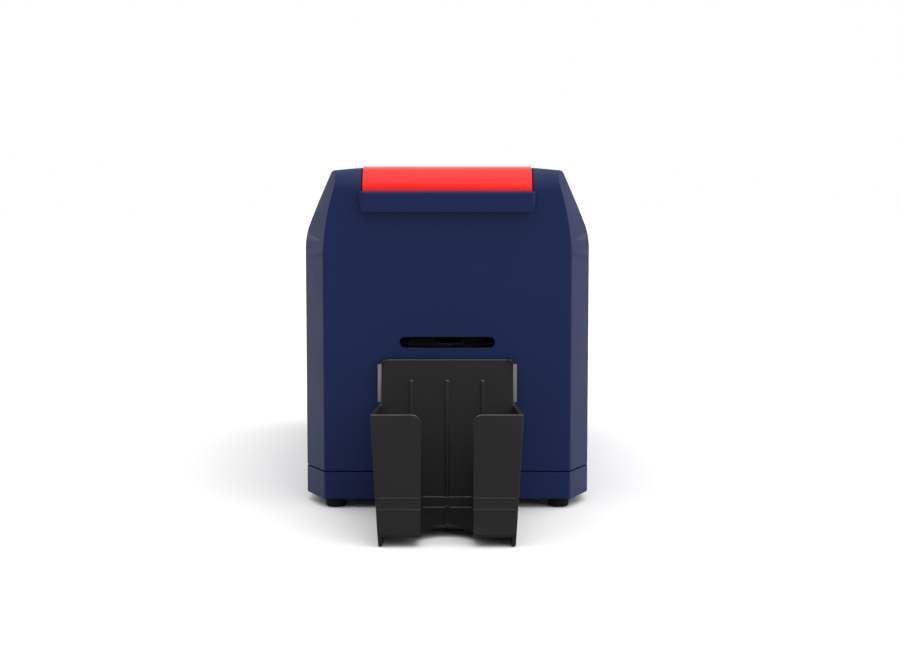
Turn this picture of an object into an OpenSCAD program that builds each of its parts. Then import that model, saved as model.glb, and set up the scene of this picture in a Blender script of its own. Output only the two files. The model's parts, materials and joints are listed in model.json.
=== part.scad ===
// Desktop printer for plastic identity cards, built as the pieces it comes apart into.
// Millimetres, +Z up. The front faces -Y, and the origin is on the table under the
// middle of the whole machine with its card bin hung on.
// Inside the modules a place along the machine is counted back from the front face.

/* [Body] */
// Width of the housing
body_w = 186; // [176:1:210]
// Length of the housing, front to back
body_l = 380; // [370:1:420]
// Height of the closed printer above the table
body_h = 221; // [216:1:232]
// Wall of the plastic mouldings
wall = 2.5; // [2:0.1:3]
// Underside of the base above the table
base_z = 6; // [5:0.5:8]
// Height of the parting line between base and housing
parting_z = 24.2; // [20:0.1:28]
// Width of the groove along the parting line
groove = 0.8; // [0.4:0.1:1.2]
// Width taken off each front corner by its facet
facet_x = 13.5; // [8:0.5:18]
// Depth taken off each front corner by its facet
facet_y = 26; // [16:1:34]
// Drop from the top to where the sides stop being upright
shoulder_drop = 44; // [36:1:56]
// Radius of the roll between front face and top
roll_r = 16; // [10:1:22]
// Diameter of a foot
foot_d = 13.4; // [10:0.1:18]

/* [Lid] */
// Width of the lid and its bright panel
lid_w = 108.4; // [100:0.2:112]
// Distance of the lid's hinge behind the front face
hinge_y = 258; // [240:1:270]
// Depth of the hinge axis below the top of the lid
hinge_drop = 8; // [7:0.5:10]
// Gap round the lid
lid_gap = 0.6; // [0.4:0.1:1]
// Thickness of the bright panel
panel_t = 2.2; // [1.5:0.1:3]
// Height of the lower edge of the bright panel below the top
panel_drop = 16; // [14:0.5:20]
// Height of the grip lip
lip_h = 13; // [10:0.5:16]
// How far the grip lip stands out of the front face
lip_out = 6.8; // [6.6:0.1:9]
// Extra width of the grip lip on each side of the lid
lip_over = 2.3; // [1:0.1:4]

/* [Card path] */
// Height of the card slot's middle
card_z = 108.2; // [100:0.1:112]
// Width of the card slot between its round ends' tips
slot_w = 61.2; // [58:0.1:66]
// Height of the card slot
slot_h = 7; // [5:0.1:8]
// Width of a card
card_w = 54; // [52:0.1:56]
// Length of a card
card_l = 85.6; // [80:0.1:90]
// Radius of the driven rubber rollers
roller_r = 6.5; // [5.5:0.1:7]
// Radius of the roller shafts
shaft_r = 3; // [2.5:0.1:3.2]
// Distance of the exit roller behind the front face
exit_y = 40; // [38:1:44]

/* [Gears] */
// Module of the roller drive gears
gear_m = 1.5; // [1.5:0.05:1.55]
// Teeth of each roller gear
roller_teeth = 16; // [16:4:16]
// Teeth of the front idler
front_teeth = 36; // [36:4:36]
// Teeth of the middle and rear idlers
idler_teeth = 32; // [32:4:32]
// Teeth of the motor pinion
pinion_teeth = 12; // [12:4:12]
// Width of a gear's rim
gear_w = 6; // [4:0.5:8]

/* [Card bin] */
// Reach of the card bin in front of the housing
bin_reach = 109; // [100:1:120]
// Width of the bin at the table
bin_foot_w = 79.6; // [76:0.1:84]
// Width of the bin at the top of its flaps
bin_top_w = 89.6; // [88:0.1:94]
// Height of the bin's flaps
flap_z = 75.4; // [68:0.1:80]
// Height of the bin's back plate
back_z = 97.6; // [90:0.1:100]
// Lean of the bin's back plate and flaps, in degrees
bin_lean = 12.4; // [10:0.1:13]
// Wall of the bin
bin_wall = 2.4; // [2:0.1:3]
// Gap between the two flaps
flap_gap = 30.6; // [26:0.1:36]

/* [Ribbon] */
// Distance of the take-up spool behind the front face
take_up_y = 50; // [46:1:52]
// Height of the take-up spool
take_up_z = 164.4; // [160:1:168]
// Distance of the supply spool behind the front face
supply_y = 178; // [174:1:182]
// Height of the supply spool
supply_z = 153.4; // [150:1:158]

/* [Hidden] */
$fn = 48;

// Colours
navy = [0.125, 0.165, 0.30];
red = [0.95, 0.14, 0.13];
black = [0.06, 0.06, 0.065];
graphite = [0.17, 0.17, 0.18];
steel = [0.66, 0.67, 0.69];
zinc = [0.74, 0.75, 0.76];
acetal = [0.90, 0.90, 0.87];
rubber_grey = [0.23, 0.23, 0.24];
board_green = [0.05, 0.30, 0.16];
film_blue = [0.10, 0.12, 0.40];

// Clearances shared by many pieces
cut = 1;
seat = 0.3;
run_fit = 0.05;
front_y = (bin_reach - body_l) / 2;
half_w = body_w / 2;
plan_r = 2;
edge_r = 1.2;
side_bend_r = 42;
crown_x = 74.1;
crown_drop = 2.7;
crown_r = 2.5;
rear_facet = 10;
rear_roll_r = 14;
facet_lean = 20.8;
facet_bend_r = 169;
facet_drop = 29;
facet_over = 0.02;
housing_drop = 0.5;
section_steps = 5;

// Places that several pieces share
floor_z = base_z + wall;
lid_half = lid_w / 2;
hinge_z = body_h - hinge_drop;
web_top_z = body_h - panel_drop;
web_t = 2.4;
lip_wall = 2.2;
front_gap_z = web_top_z - web_t - lid_gap / 2;
knuckle_r = hinge_drop;
knuckle_gap = 0.6;
lid_back_y = hinge_y + knuckle_r + knuckle_gap;
card_t = 0.8;
roller_z = card_z - card_t / 2 - roller_r;
roller_pitch_r = gear_m * roller_teeth / 2;
front_pitch_r = gear_m * front_teeth / 2;
idler_pitch_r = gear_m * idler_teeth / 2;
pinion_pitch_r = gear_m * pinion_teeth / 2;
front_idler_y = exit_y + roller_pitch_r + front_pitch_r;
platen_y = front_idler_y + front_pitch_r + roller_pitch_r;
middle_idler_y = platen_y + roller_pitch_r + idler_pitch_r;
transport_y = middle_idler_y + idler_pitch_r + roller_pitch_r;
rear_idler_y = transport_y + roller_pitch_r + idler_pitch_r;
feed_y = rear_idler_y + idler_pitch_r + roller_pitch_r;
roller_places = [exit_y, platen_y, transport_y, feed_y];
idler_places = [front_idler_y, middle_idler_y, rear_idler_y];
motor_z = roller_z - idler_pitch_r - pinion_pitch_r;
plate_x = 46;
plate_t = 2;
gear_x = plate_x + plate_t + 1.5;
bush_r = 5;
bush_flange_r = 7;
bush_flange_t = 1;
idler_pin_r = 3;

// One corner of an outline, rounded to radius r in n steps
function unit(v) = v / norm(v);
function fillet(p, q, s, r, n) =
    let (a = unit(p - q), b = unit(s - q), half = acos(max(-1, min(1, a * b))) / 2)
    let (t = r / tan(half), c = q + unit(a + b) * r / sin(half), from = q + a * t - c)
    let (to = q + b * t - c, a0 = atan2(from[1], from[0]), a1 = atan2(to[1], to[0]))
    let (turn = a1 - a0 > 180 ? a1 - a0 - 360 : (a1 - a0 < -180 ? a1 - a0 + 360 : a1 - a0))
    [for (i = [0 : n]) c + r * [cos(a0 + turn * i / n), sin(a0 + turn * i / n)]];
// A closed outline whose corners [x, y, radius] are rounded
function rounded(pts, n) =
    let (k = len(pts), at = [for (p = pts) [p[0], p[1]]])
    [for (i = [0 : k - 1]) each (pts[i][2] > 0
        ? fillet(at[(i + k - 1) % k], at[i], at[(i + 1) % k], pts[i][2], n)
        : [at[i]])];

// Extrude an outline of [back, up] points across the machine, centred
module across(w) {
    translate([-w / 2, 0, 0]) rotate([90, 0, 90]) linear_extrude(w) children();
}
// Extrude an outline of [x, up] points from y0 back to y1
module along(y0, y1) {
    translate([0, y1, 0]) rotate([90, 0, 0]) linear_extrude(y1 - y0) children();
}
// Rod across the machine between two x places
module rod_x(x0, x1, y, z, r) {
    translate([x0, y, z]) rotate([0, 90, 0]) cylinder(h = x1 - x0, r = r);
}
// Rod along the machine between two y places
module rod_y(y0, y1, x, z, r) {
    translate([x, y0, z]) rotate([-90, 0, 0]) cylinder(h = y1 - y0, r = r);
}
module block(x0, x1, y0, y1, z0, z1) {
    translate([x0, y0, z0]) cube([x1 - x0, y1 - y0, z1 - z0]);
}
// The front face is the zero of every piece's places along the machine
module placed() { translate([0, front_y, 0]) children(); }
module both_sides() { for (side = [0, 1]) mirror([side, 0, 0]) children(); }
// Flat stadium with round ends, cut along the machine
module slot_hole(w, h, y0, y1, z) {
    both_sides() rod_y(y0, y1, (w - h) / 2, z, h / 2);
    block(-(w - h) / 2, (w - h) / 2, y0, y1, z - h / 2, z + h / 2);
}

// Outer form of base and housing, drawn in by k for the inside
function section_points(k) =
    let (top = body_h - housing_drop - k, slope = side_bend_r, low = base_z + min(k, wall))
    let (bx = half_w - k, bz = body_h - shoulder_drop - k / 4)
    [[bx, low, edge_r], [bx, bz, slope], [crown_x - k, body_h - crown_drop - k, crown_r],
     [lid_half - wall, top, 0], [wall - lid_half, top, 0],
     [k - crown_x, body_h - crown_drop - k, crown_r], [-bx, bz, slope], [-bx, low, edge_r]];
function plan_points(k) =
    let (x = half_w - k, b = body_l - k, fx = facet_x - k / 4, fy = facet_y - k / 4)
    [[x - fx, k, plan_r], [x, k + fy, plan_r], [x, b - rear_facet, plan_r],
     [x - rear_facet, b, plan_r], [rear_facet - x, b, plan_r], [-x, b - rear_facet, plan_r],
     [-x, k + fy, plan_r], [fx - x, k, plan_r]];
function side_points(k) =
    [[k, base_z + min(k, wall), edge_r], [body_l - k, base_z + min(k, wall), edge_r],
     [body_l - k, body_h - k, rear_roll_r - k], [k, body_h - k, roll_r - k]];
module form(k, z0, z1) {
    lean_x = half_w - facet_x;
    difference() {
        intersection() {
            along(k, body_l - k) polygon(rounded(section_points(k), section_steps));
            translate([0, 0, z0]) linear_extrude(z1 - z0)
                polygon(rounded(plan_points(k), section_steps));
            across(body_w) polygon(rounded(side_points(k), 2 * section_steps));
        }
        // The facets bend inwards towards the top
        both_sides() translate([lean_x - k, 0, 0]) rotate([0, 0, -atan(facet_x / facet_y)])
            along(-body_h, body_h) polygon(rounded([[facet_over, 0, 0],
                [facet_over, body_h - facet_drop, facet_bend_r],
                [facet_over - facet_drop * tan(facet_lean), body_h, 0],
                [body_h, body_h, 0], [body_h, 0, 0]], 2 * section_steps));
    }
}

// Base: tray with a rim that locates the housing, boards and plates stand on its floor
rim_t = 1.6;
rim_h = 4;
rim_play = 0.2;
foot_inset = 6.75;
foot_x = half_w - foot_inset - 2 * foot_inset;
foot_front_y = 9.6;
foot_back_y = body_l - 2 * foot_inset;
foot_edge = 1;
intake_w = 3;
intake_l = 46;
intake_n = 7;
module base_tray() color(navy) placed() difference() {
    union() {
        form(0, base_z, parting_z - groove / 2);
        form(wall + rim_play, base_z + wall / 2, parting_z + rim_h);
    }
    form(wall + rim_play + rim_t, floor_z, body_h);
    // Air intake slots in the floor, below the circuit board
    for (i = [0 : intake_n - 1])
        block(-intake_l / 2, intake_l / 2, board_y0 + (2 * i + 1) * 2 * intake_w,
            board_y0 + (2 * i + 1) * 2 * intake_w + intake_w, base_z - cut, floor_z + cut);
}
module foot(side, y) color(black) placed() translate([side * foot_x, y, 0]) rotate_extrude()
    polygon([[0, 0], [foot_d / 2 - foot_edge, 0], [foot_d / 2, foot_edge],
        [foot_d / 2, base_z], [0, base_z]]);
module foot_front_left() { foot(-1, foot_front_y); }
module foot_front_right() { foot(1, foot_front_y); }
module foot_rear_left() { foot(-1, foot_back_y); }
module foot_rear_right() { foot(1, foot_back_y); }

// Upper housing: one moulded shell with its openings, hanging studs and door ears
door_w = 72;
door_axis_z = 102;
door_top_z = 188;
door_gap = 0.5;
door_knuckle_r = 3;
door_axis_y = body_l - door_knuckle_r;
door_pin_r = 1.6;
door_pin_l = 4;
ear_t = 5.5;
ear_r = 4.2;
panel_side = 15;
panel_w = 2 * (half_w - rear_facet - panel_side);
panel_z0 = 32;
panel_z1 = 76;
stud_x = 34;
stud_z = 67;
stud_r = 2;
stud_head_r = 4;
stud_neck = 3.2;
stud_head_t = 1.6;
vent_w = 3;
vent_pitch = 7;
vent_n = 9;
vent_z0 = 45;
vent_z1 = 85;
vent_y0 = 268;
fan_inset = 32;
fan_x = half_w - fan_inset;
fan_z = 135;
fan_size = 40;
grille_n = 5;
grille_pitch = 6.4;
module upper_housing() color(navy) placed() {
    lid_cut = lid_half + lid_gap;
    ear_x = door_w / 2 + door_gap;
    difference() {
        union() {
            difference() {
                form(0, parting_z + groove / 2, body_h);
                form(wall, 0, body_h);
            }
            // Ears inside the rear wall for the door's pins, bosses for the lid's pins
            both_sides() {
                block(ear_x, ear_x + ear_t, body_l - wall - ear_r, body_l - wall / 2,
                    door_axis_z - ear_r, door_axis_z + ear_r);
                block(lid_cut, lid_cut + boss_l, hinge_y - knuckle_r, hinge_y + knuckle_r,
                    hinge_z - knuckle_r, body_h - wall);
            }
        }
        both_sides() {
            rod_x(0, ear_x + door_pin_l - door_gap + seat, door_axis_y, door_axis_z,
                door_pin_r + run_fit);
            rod_x(0, lid_cut + boss_l + cut, hinge_y, hinge_z, pin_r);
        }
        // Opening for the lid, from the top edge of the front wall to the hinge knuckle
        block(-lid_cut, lid_cut, -cut, lid_back_y, front_gap_z, body_h + cut);
        slot_hole(slot_w, slot_h, -cut, wall + cut, card_z);
        // Rear card door and connector panel
        block(-door_w / 2 - door_gap, door_w / 2 + door_gap, body_l - wall - cut, body_l + cut,
            door_axis_z - door_knuckle_r - door_gap, door_top_z + door_gap);
        block(-panel_w / 2, panel_w / 2, body_l - wall - cut, body_l + cut, panel_z0, panel_z1);
        // Upright vents low on both sides, towards the rear
        both_sides() for (i = [0 : vent_n - 1])
            block(half_w - wall - cut, half_w + cut, vent_y0 + i * vent_pitch,
                vent_y0 + i * vent_pitch + vent_w, vent_z0, vent_z1);
        // Fan grille, slots clipped to a circle
        intersection() {
            rod_y(body_l - wall - cut, body_l + cut, fan_x, fan_z, fan_size / 2 - wall);
            for (i = [0 : grille_n - 1])
                block(fan_x - fan_size, fan_x + fan_size, 0, body_l + cut,
                    fan_z + (i - (grille_n - 1) / 2) * grille_pitch - vent_w / 2,
                    fan_z + (i - (grille_n - 1) / 2) * grille_pitch + vent_w / 2);
        }
    }
    // Mushroom studs that the card bin hangs on
    both_sides() {
        rod_y(-stud_neck, wall / 2, stud_x, stud_z, stud_r);
        rod_y(-stud_neck - stud_head_t, -stud_neck, stud_x, stud_z, stud_head_r);
    }
}

// Black liner that frames the card slot from inside the wall
liner_t = 1.2;
liner_l = 14;
liner_flange = 4;
liner_flange_t = 1.5;
module slot_bezel() color(black) placed() difference() {
    union() {
        slot_hole(slot_w + 2 * liner_t, slot_h + 2 * liner_t, wall, liner_l, card_z);
        slot_hole(slot_w + 2 * liner_flange, slot_h + 2 * liner_flange, wall,
            wall + liner_flange_t, card_z);
    }
    slot_hole(slot_w, slot_h, 0, liner_l + cut, card_z);
}

// Connector panel: steel plate inside the rear wall, with a cut-out for each connector
sheet_t = 1.5;
panel_over = 3;
panel_back_y = body_l - wall;
port_z = (panel_z0 + panel_z1) / 2;
port_inset = 20;
jack_x = port_inset - panel_w / 2;
jack_r = 6;
usb_x = -14;
usb_w = 12.4;
usb_h = 11.4;
lan_x = 12;
lan_w = 16;
lan_h = 13.6;
rocker_x = panel_w / 2 - port_inset;
switch_w = 15;
switch_h = 22;
port_play = 0.15;
module rear_panel() color(zinc) placed() difference() {
    block(-panel_w / 2 - panel_over, panel_w / 2 + panel_over, panel_back_y - sheet_t,
        panel_back_y, panel_z0 - panel_over, panel_z1 + panel_over);
    rod_y(panel_back_y - 2 * sheet_t, body_l, jack_x, port_z, jack_r);
    port_hole(usb_x, usb_w, usb_h);
    port_hole(lan_x, lan_w, lan_h);
    port_hole(rocker_x, switch_w, switch_h);
}
module port_hole(x, w, h) {
    block(x - w / 2, x + w / 2, panel_back_y - 2 * sheet_t, body_l, port_z - h / 2, port_z + h / 2);
}

// Round low voltage inlet with its centre pin
jack_body = 16;
jack_l = 18;
jack_bore_r = 3.2;
jack_pin_r = 1;
jack_nose = 1.2;
module power_inlet() color(black) placed() {
    y1 = panel_back_y - sheet_t;
    difference() {
        union() {
            block(jack_x - jack_body / 2, jack_x + jack_body / 2, y1 - jack_l, y1,
                port_z - jack_body / 2, port_z + jack_body / 2);
            rod_y(y1, panel_back_y + jack_nose, jack_x, port_z, jack_r - port_play);
        }
        rod_y(y1 - jack_l / 2, body_l, jack_x, port_z, jack_bore_r);
    }
    rod_y(y1 - jack_l / 2 - cut, panel_back_y, jack_x, port_z, jack_pin_r);
}

// Square data port and network port, each a shell with a tongue
port_l = 16;
port_shell = 1;
module port(x, w, h, tongue_w, tongue_h) {
    y1 = panel_back_y + jack_nose / 2;
    x1 = w / 2 - port_play;
    z1 = h / 2 - port_play;
    difference() {
        block(x - x1, x + x1, y1 - port_l, y1, port_z - z1, port_z + z1);
        block(x - x1 + port_shell, x + x1 - port_shell, y1 - port_l + 2 * port_shell, y1 + cut,
            port_z - z1 + port_shell, port_z + z1 - port_shell);
    }
    block(x - tongue_w / 2, x + tongue_w / 2, y1 - port_l + port_shell, y1 - 2 * port_shell,
        port_z - tongue_h / 2, port_z + tongue_h / 2);
}
module data_ports() color(steel) placed() {
    port(usb_x, usb_w, usb_h, usb_w / 2, usb_h / 3);
    port(lan_x, lan_w, lan_h, lan_w / 2, lan_h / 6);
}

// Power switch: a housing with pivot holes and a rocker that tips in it
switch_l = 14;
switch_wall = 1.4;
pivot_r = 1.1;
pivot_y = panel_back_y - sheet_t;
rocker_play = 0.35;
rocker_tip = 7;
module switch_housing() color(black) placed() difference() {
    union() {
        block(rocker_x - switch_w / 2 + port_play, rocker_x + switch_w / 2 - port_play,
            panel_back_y - switch_l, panel_back_y + jack_nose / 2,
            port_z - switch_h / 2 + port_play, port_z + switch_h / 2 - port_play);
    }
    block(rocker_x - switch_w / 2 + port_play + switch_wall,
        rocker_x + switch_w / 2 - port_play - switch_wall,
        panel_back_y - switch_l + switch_wall, body_l,
        port_z - switch_h / 2 + port_play + switch_wall,
        port_z + switch_h / 2 - port_play - switch_wall);
    rod_x(rocker_x - switch_w / 2 + port_play + switch_wall / 4,
        rocker_x + switch_w / 2 - port_play - switch_wall / 4, pivot_y, port_z, pivot_r + run_fit);
}
module power_rocker() color(black) placed() {
    w = switch_w / 2 - port_play - switch_wall - rocker_play;
    h = switch_h / 2 - port_play - switch_wall - 2 * rocker_play;
    rod_x(rocker_x - w - switch_wall / 2, rocker_x + w + switch_wall / 2, pivot_y, port_z, pivot_r);
    // Two finger faces that meet in a shallow valley, resting tipped to one side
    translate([rocker_x, pivot_y, port_z]) rotate([rocker_tip, 0, 0]) across(2 * w)
        polygon([[-2 * pivot_r, -h / 2], [-2 * pivot_r, h / 2], [sheet_t / 2, h],
            [sheet_t / 2 + 1.6 * pivot_r, h], [sheet_t / 2 + pivot_r / 2, 0],
            [sheet_t / 2 + 1.6 * pivot_r, -h], [sheet_t / 2, -h]]);
}

// Fan: square frame with a spider and pin that carries the rotor
fan_t = 10;
fan_hub_r = 8.5;
fan_blades = 7;
fan_tip_gap = 0.8;
fan_pin_r = 1.5;
blade_t = 1;
blade_tilt = 38;
spider_w = 2.4;
fan_y0 = body_l - wall - fan_t - seat;
module fan_frame() color(black) placed() {
    r = fan_size / 2 - switch_wall;
    difference() {
        block(fan_x - fan_size / 2, fan_x + fan_size / 2, fan_y0, fan_y0 + fan_t,
            fan_z - fan_size / 2, fan_z + fan_size / 2);
        rod_y(fan_y0 - cut, fan_y0 + fan_t + cut, fan_x, fan_z, r);
    }
    for (a = [0 : 90 : 270]) translate([fan_x, 0, fan_z]) rotate([0, a + 45, 0])
        block(0, r + switch_wall / 2, fan_y0, fan_y0 + blade_t, -spider_w / 2, spider_w / 2);
    rod_y(fan_y0, fan_y0 + blade_t, fan_x, fan_z, fan_hub_r);
    rod_y(fan_y0, fan_y0 + fan_t - 2 * blade_t, fan_x, fan_z, fan_pin_r);
}
module fan_rotor() color(graphite) placed() translate([fan_x, 0, fan_z]) {
    y0 = fan_y0 + 2 * blade_t;
    y1 = fan_y0 + fan_t - blade_t / 2;
    r = fan_size / 2 - switch_wall - fan_tip_gap;
    difference() {
        rod_y(y0, y1, 0, 0, fan_hub_r);
        rod_y(y0 - cut, y1 - blade_t, 0, 0, fan_pin_r + run_fit);
    }
    intersection() {
        rod_y(y0, y1, 0, 0, r);
        for (i = [0 : fan_blades - 1]) rotate([0, i * 360 / fan_blades, 0])
            translate([fan_hub_r - blade_t, (y0 + y1) / 2, 0]) rotate([blade_tilt, 0, 0])
            block(0, r, -fan_t / 2, fan_t / 2, -blade_t / 2, blade_t / 2);
    }
}

// Lid: side outline of its outside, drawn in by k, from the web below the panel to the knuckle
lid_play = 0.2;
panel_end = hinge_y - knuckle_r / 2;
skirt_t = 1.6;
skirt_z = web_top_z + knuckle_gap;
lip_r = 1.5;
lip_side_r = 3;
lip_taper = 2.2;
lip_end_r = 5;
cheek_t = 2;
pin_r = 2.5;
pin_l = 10;
ear_l = 4;
boss_l = 6;
module lid_region(k) {
    polygon(rounded([[k, web_top_z - web_t, 0], [k, body_h - k, roll_r - k],
        [hinge_y + knuckle_r - k, body_h - k, max(knuckle_r - k, panel_t / 4)],
        [hinge_y + knuckle_r - k, web_top_z - web_t, 0]], 2 * section_steps));
}
module lid_band(w, k0, k1) {
    across(w) difference() {
        lid_region(k0);
        lid_region(k1);
        translate([k1, 0]) square([hinge_y + knuckle_r - 2 * k1, web_top_z]);
        translate([hinge_y, 0]) square([body_h, hinge_z]);
    }
}
module lid_panel() color(red) placed() intersection() {
    lid_band(lid_w, 0, panel_t);
    block(-body_w, body_w, -cut, panel_end, web_top_z, body_h + cut);
}
module lid_shell() color(navy) placed() {
    shell_w = lid_w - 2 * lid_play;
    lip_w = lid_w + 2 * lip_over;
    lip_x = lip_w / 2;
    lip_low = web_top_z - lip_h;
    lid_band(shell_w, panel_t, panel_t + wall);
    intersection() {
        lid_band(shell_w, 0, panel_t + wall / 2);
        block(-body_w, body_w, panel_end, body_l, 0, body_h + cut);
    }
    both_sides() {
        // Side skirt and the hinge ear with its bore
        difference() {
            union() {
                translate([shell_w / 2 - skirt_t / 2, 0, 0]) across(skirt_t) intersection() {
                    lid_region(panel_t + wall / 2);
                    translate([0, skirt_z]) square([hinge_y, body_h]);
                }
                rod_x(shell_w / 2 - ear_l, shell_w / 2, hinge_y, hinge_z, knuckle_r - panel_t / 8);
            }
            rod_x(0, body_w, hinge_y, hinge_z, pin_r + run_fit);
        }
        // Closed end of the grip lip
        block(lid_half - lid_play - cheek_t, lid_half - lid_play, -lip_out + lip_wall / 2,
            -lid_play, lip_low + cheek_t, web_top_z - web_t / 2);
    }
    // Web below the panel and the grip lip that hangs from it in front of the housing
    difference() {
        intersection() {
            across(lip_w) polygon(rounded([[-lip_out, web_top_z, lip_r], [-lip_out, lip_low, 0],
                [-lip_out + lip_wall, lip_low, 0], [-lip_out + lip_wall, web_top_z - web_t, 0],
                [panel_t + wall, web_top_z - web_t, 0], [panel_t + wall, web_top_z, 0]],
                2 * section_steps));
            along(-body_l, body_l) polygon(rounded([[-lip_x, web_top_z, 0],
                [-lip_x, web_top_z - lip_h / 3, lip_end_r], [-lip_x + lip_taper, lip_low, 0],
                [lip_x - lip_taper, lip_low, 0], [lip_x, web_top_z - lip_h / 3, lip_end_r],
                [lip_x, web_top_z, 0]], section_steps));
            translate([0, 0, lip_low - cut]) linear_extrude(lip_h + 2 * cut)
                polygon(rounded([[-lip_x, -lip_out, lip_side_r], [lip_x, -lip_out, lip_side_r],
                    [lip_x, body_l, 0], [-lip_x, body_l, 0]], section_steps));
        }
        both_sides() block(shell_w / 2, body_w, -lid_play, body_l, 0, body_h);
    }
}
module hinge_pins() color(steel) placed() both_sides()
    rod_x(lid_half - lid_play - ear_l, lid_half - lid_play - ear_l + pin_l, hinge_y, hinge_z, pin_r);

// Print head: a steel bracket under the lid, two leaf springs and the sprung thermal bar
head_w = 64;
head_l = 14;
head_gap = 0.9;
head_block = 18;
head_bar = 3;
head_bar_w = 3;
bracket_w = 78;
bracket_l = 22;
bracket_t = 1.6;
bracket_z = card_z + card_t / 2 + head_gap + head_bar + head_block + 5;
leaf_w = 9;
leaf_t = 0.6;
leaf_x = 21;
fin_n = 6;
module head_bracket() color(zinc) placed() {
    y0 = platen_y - bracket_l / 2;
    y1 = platen_y + bracket_l / 2;
    top = body_h - panel_t - wall;
    block(-bracket_w / 2, bracket_w / 2, y0, y1, bracket_z, bracket_z + bracket_t);
    both_sides() {
        // Tapered leg up to a foot that is fastened under the lid
        translate([bracket_w / 2 - bracket_t / 2, 0, 0]) across(bracket_t)
            polygon([[y0, bracket_z], [y1, bracket_z], [y1 + bracket_l / 2, top],
                [y0 - bracket_l / 2, top]]);
        block(bracket_w / 2 - bracket_l / 2, bracket_w / 2, y0 - bracket_l / 2,
            y1 + bracket_l / 2, top - bracket_t, top);
        // Guide tabs beside the sprung head
        block(head_w / 2 + seat, head_w / 2 + seat + bracket_t, platen_y - head_l / 4,
            platen_y + head_l / 4, bracket_z - head_block / 2, bracket_z);
    }
}
module print_head() color(graphite) placed() {
    z0 = card_z + card_t / 2 + head_gap;
    z1 = z0 + head_bar;
    difference() {
        block(-head_w / 2, head_w / 2, platen_y - head_l / 2, platen_y + head_l / 2,
            z1, z1 + head_block);
        // Cooling grooves along the aluminium block
        for (i = [1 : fin_n])
            block(-head_w / 2 - cut, head_w / 2 + cut, platen_y - head_l / 2 - cut,
                platen_y - head_l / 4, z1 + i * head_block / (fin_n + 1) - leaf_t,
                z1 + i * head_block / (fin_n + 1) + leaf_t);
    }
    block(-card_w / 2 - head_bar_w / 2, card_w / 2 + head_bar_w / 2, platen_y - head_bar_w / 2,
        platen_y + head_bar_w / 2, z0, z1);
}
module head_springs() color(steel) placed() {
    z0 = card_z + card_t / 2 + head_gap + head_bar + head_block;
    rise = bracket_z - z0;
    both_sides() translate([leaf_x, 0, 0]) across(leaf_w)
        polygon([[platen_y - head_l / 2, z0], [platen_y, z0], [platen_y + head_l / 2, bracket_z - leaf_t],
            [platen_y + head_l / 2 + leaf_w / 4, bracket_z - leaf_t],
            [platen_y + head_l / 2 + leaf_w / 4, bracket_z], [platen_y + head_l / 2 - leaf_t, bracket_z],
            [platen_y - leaf_t, z0 + leaf_t], [platen_y - head_l / 2, z0 + leaf_t]]);
}

// Chassis: two sheet steel plates tied by round bars, carrying the whole card path
plate_y0 = 20;
plate_y1 = 302;
plate_low_z = 135.4;
plate_r = 8;
tower_w = 34;
notch_r = 8;
notch_play = 0.1;
flange_w = 9;
pinch_r = 5;
pinch_shaft_r = 2.5;
pinch_z = card_z + card_t / 2 + pinch_r;
bar_r = 4;
bar_places = [[72, 59.4], [232, 59.4], [218, 125.4]];
motor_boss_r = 11;
module plate_outline() {
    top0 = take_up_z + notch_r + panel_t;
    top1 = supply_z + notch_r + panel_t;
    polygon(rounded([[plate_y0, floor_z, 0], [plate_y0, plate_low_z, plate_r],
        [take_up_y - tower_w / 2, plate_low_z + plate_r, 0],
        [take_up_y - tower_w / 2, top0, panel_t], [take_up_y + tower_w / 2, top0, panel_t],
        [take_up_y + tower_w / 2 + plate_r, plate_low_z, plate_r],
        [supply_y - tower_w / 2 - plate_r, plate_low_z, plate_r],
        [supply_y - tower_w / 2, top1, panel_t], [supply_y + tower_w / 2, top1, panel_t],
        [supply_y + tower_w / 2 + plate_r, plate_low_z, plate_r],
        [plate_y1, plate_low_z, plate_r], [plate_y1, floor_z, 0]], section_steps));
}
module side_plate(motor_side) {
    difference() {
        union() {
            translate([plate_x + plate_t / 2, 0, 0]) across(plate_t) plate_outline();
            // Foot flange turned outwards on the base floor
            block(plate_x, plate_x + flange_w, plate_y0, plate_y1, floor_z, floor_z + plate_t);
        }
        for (y = roller_places) rod_x(0, body_w, y, roller_z, bush_r);
        for (y = [exit_y, transport_y]) rod_x(0, body_w, y, pinch_z, pinch_shaft_r + run_fit);
        // Notches, open at the top, that the ribbon cassette's bosses drop into
        for (p = [[take_up_y, take_up_z], [supply_y, supply_z]]) {
            rod_x(0, body_w, p[0], p[1], notch_r + notch_play);
            block(0, body_w, p[0] - notch_r - notch_play, p[0] + notch_r + notch_play,
                p[1], body_h);
        }
        if (motor_side) {
            rod_x(0, body_w, middle_idler_y, motor_z, motor_boss_r);
            rod_x(0, body_w, take_up_y, ribbon_pinion_z, ribbon_boss_r);
        }
    }
}
module side_plate_left() color(zinc) placed() mirror([1, 0, 0]) side_plate(false);
module side_plate_right() color(zinc) placed() {
    side_plate(true);
    for (y = idler_places) rod_x(plate_x + plate_t / 2, gear_x + gear_w + cut, y, roller_z, idler_pin_r);
}
module cross_bars() color(steel) placed()
    for (p = bar_places) rod_x(-plate_x, plate_x, p[0], p[1], bar_r);
module roller_bushes() color(acetal) placed() both_sides() for (y = roller_places) difference() {
    union() {
        rod_x(plate_x, plate_x + plate_t, y, roller_z, bush_r);
        rod_x(plate_x - bush_flange_t, plate_x, y, roller_z, bush_flange_r);
    }
    rod_x(0, body_w, y, roller_z, shaft_r + run_fit);
}

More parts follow.
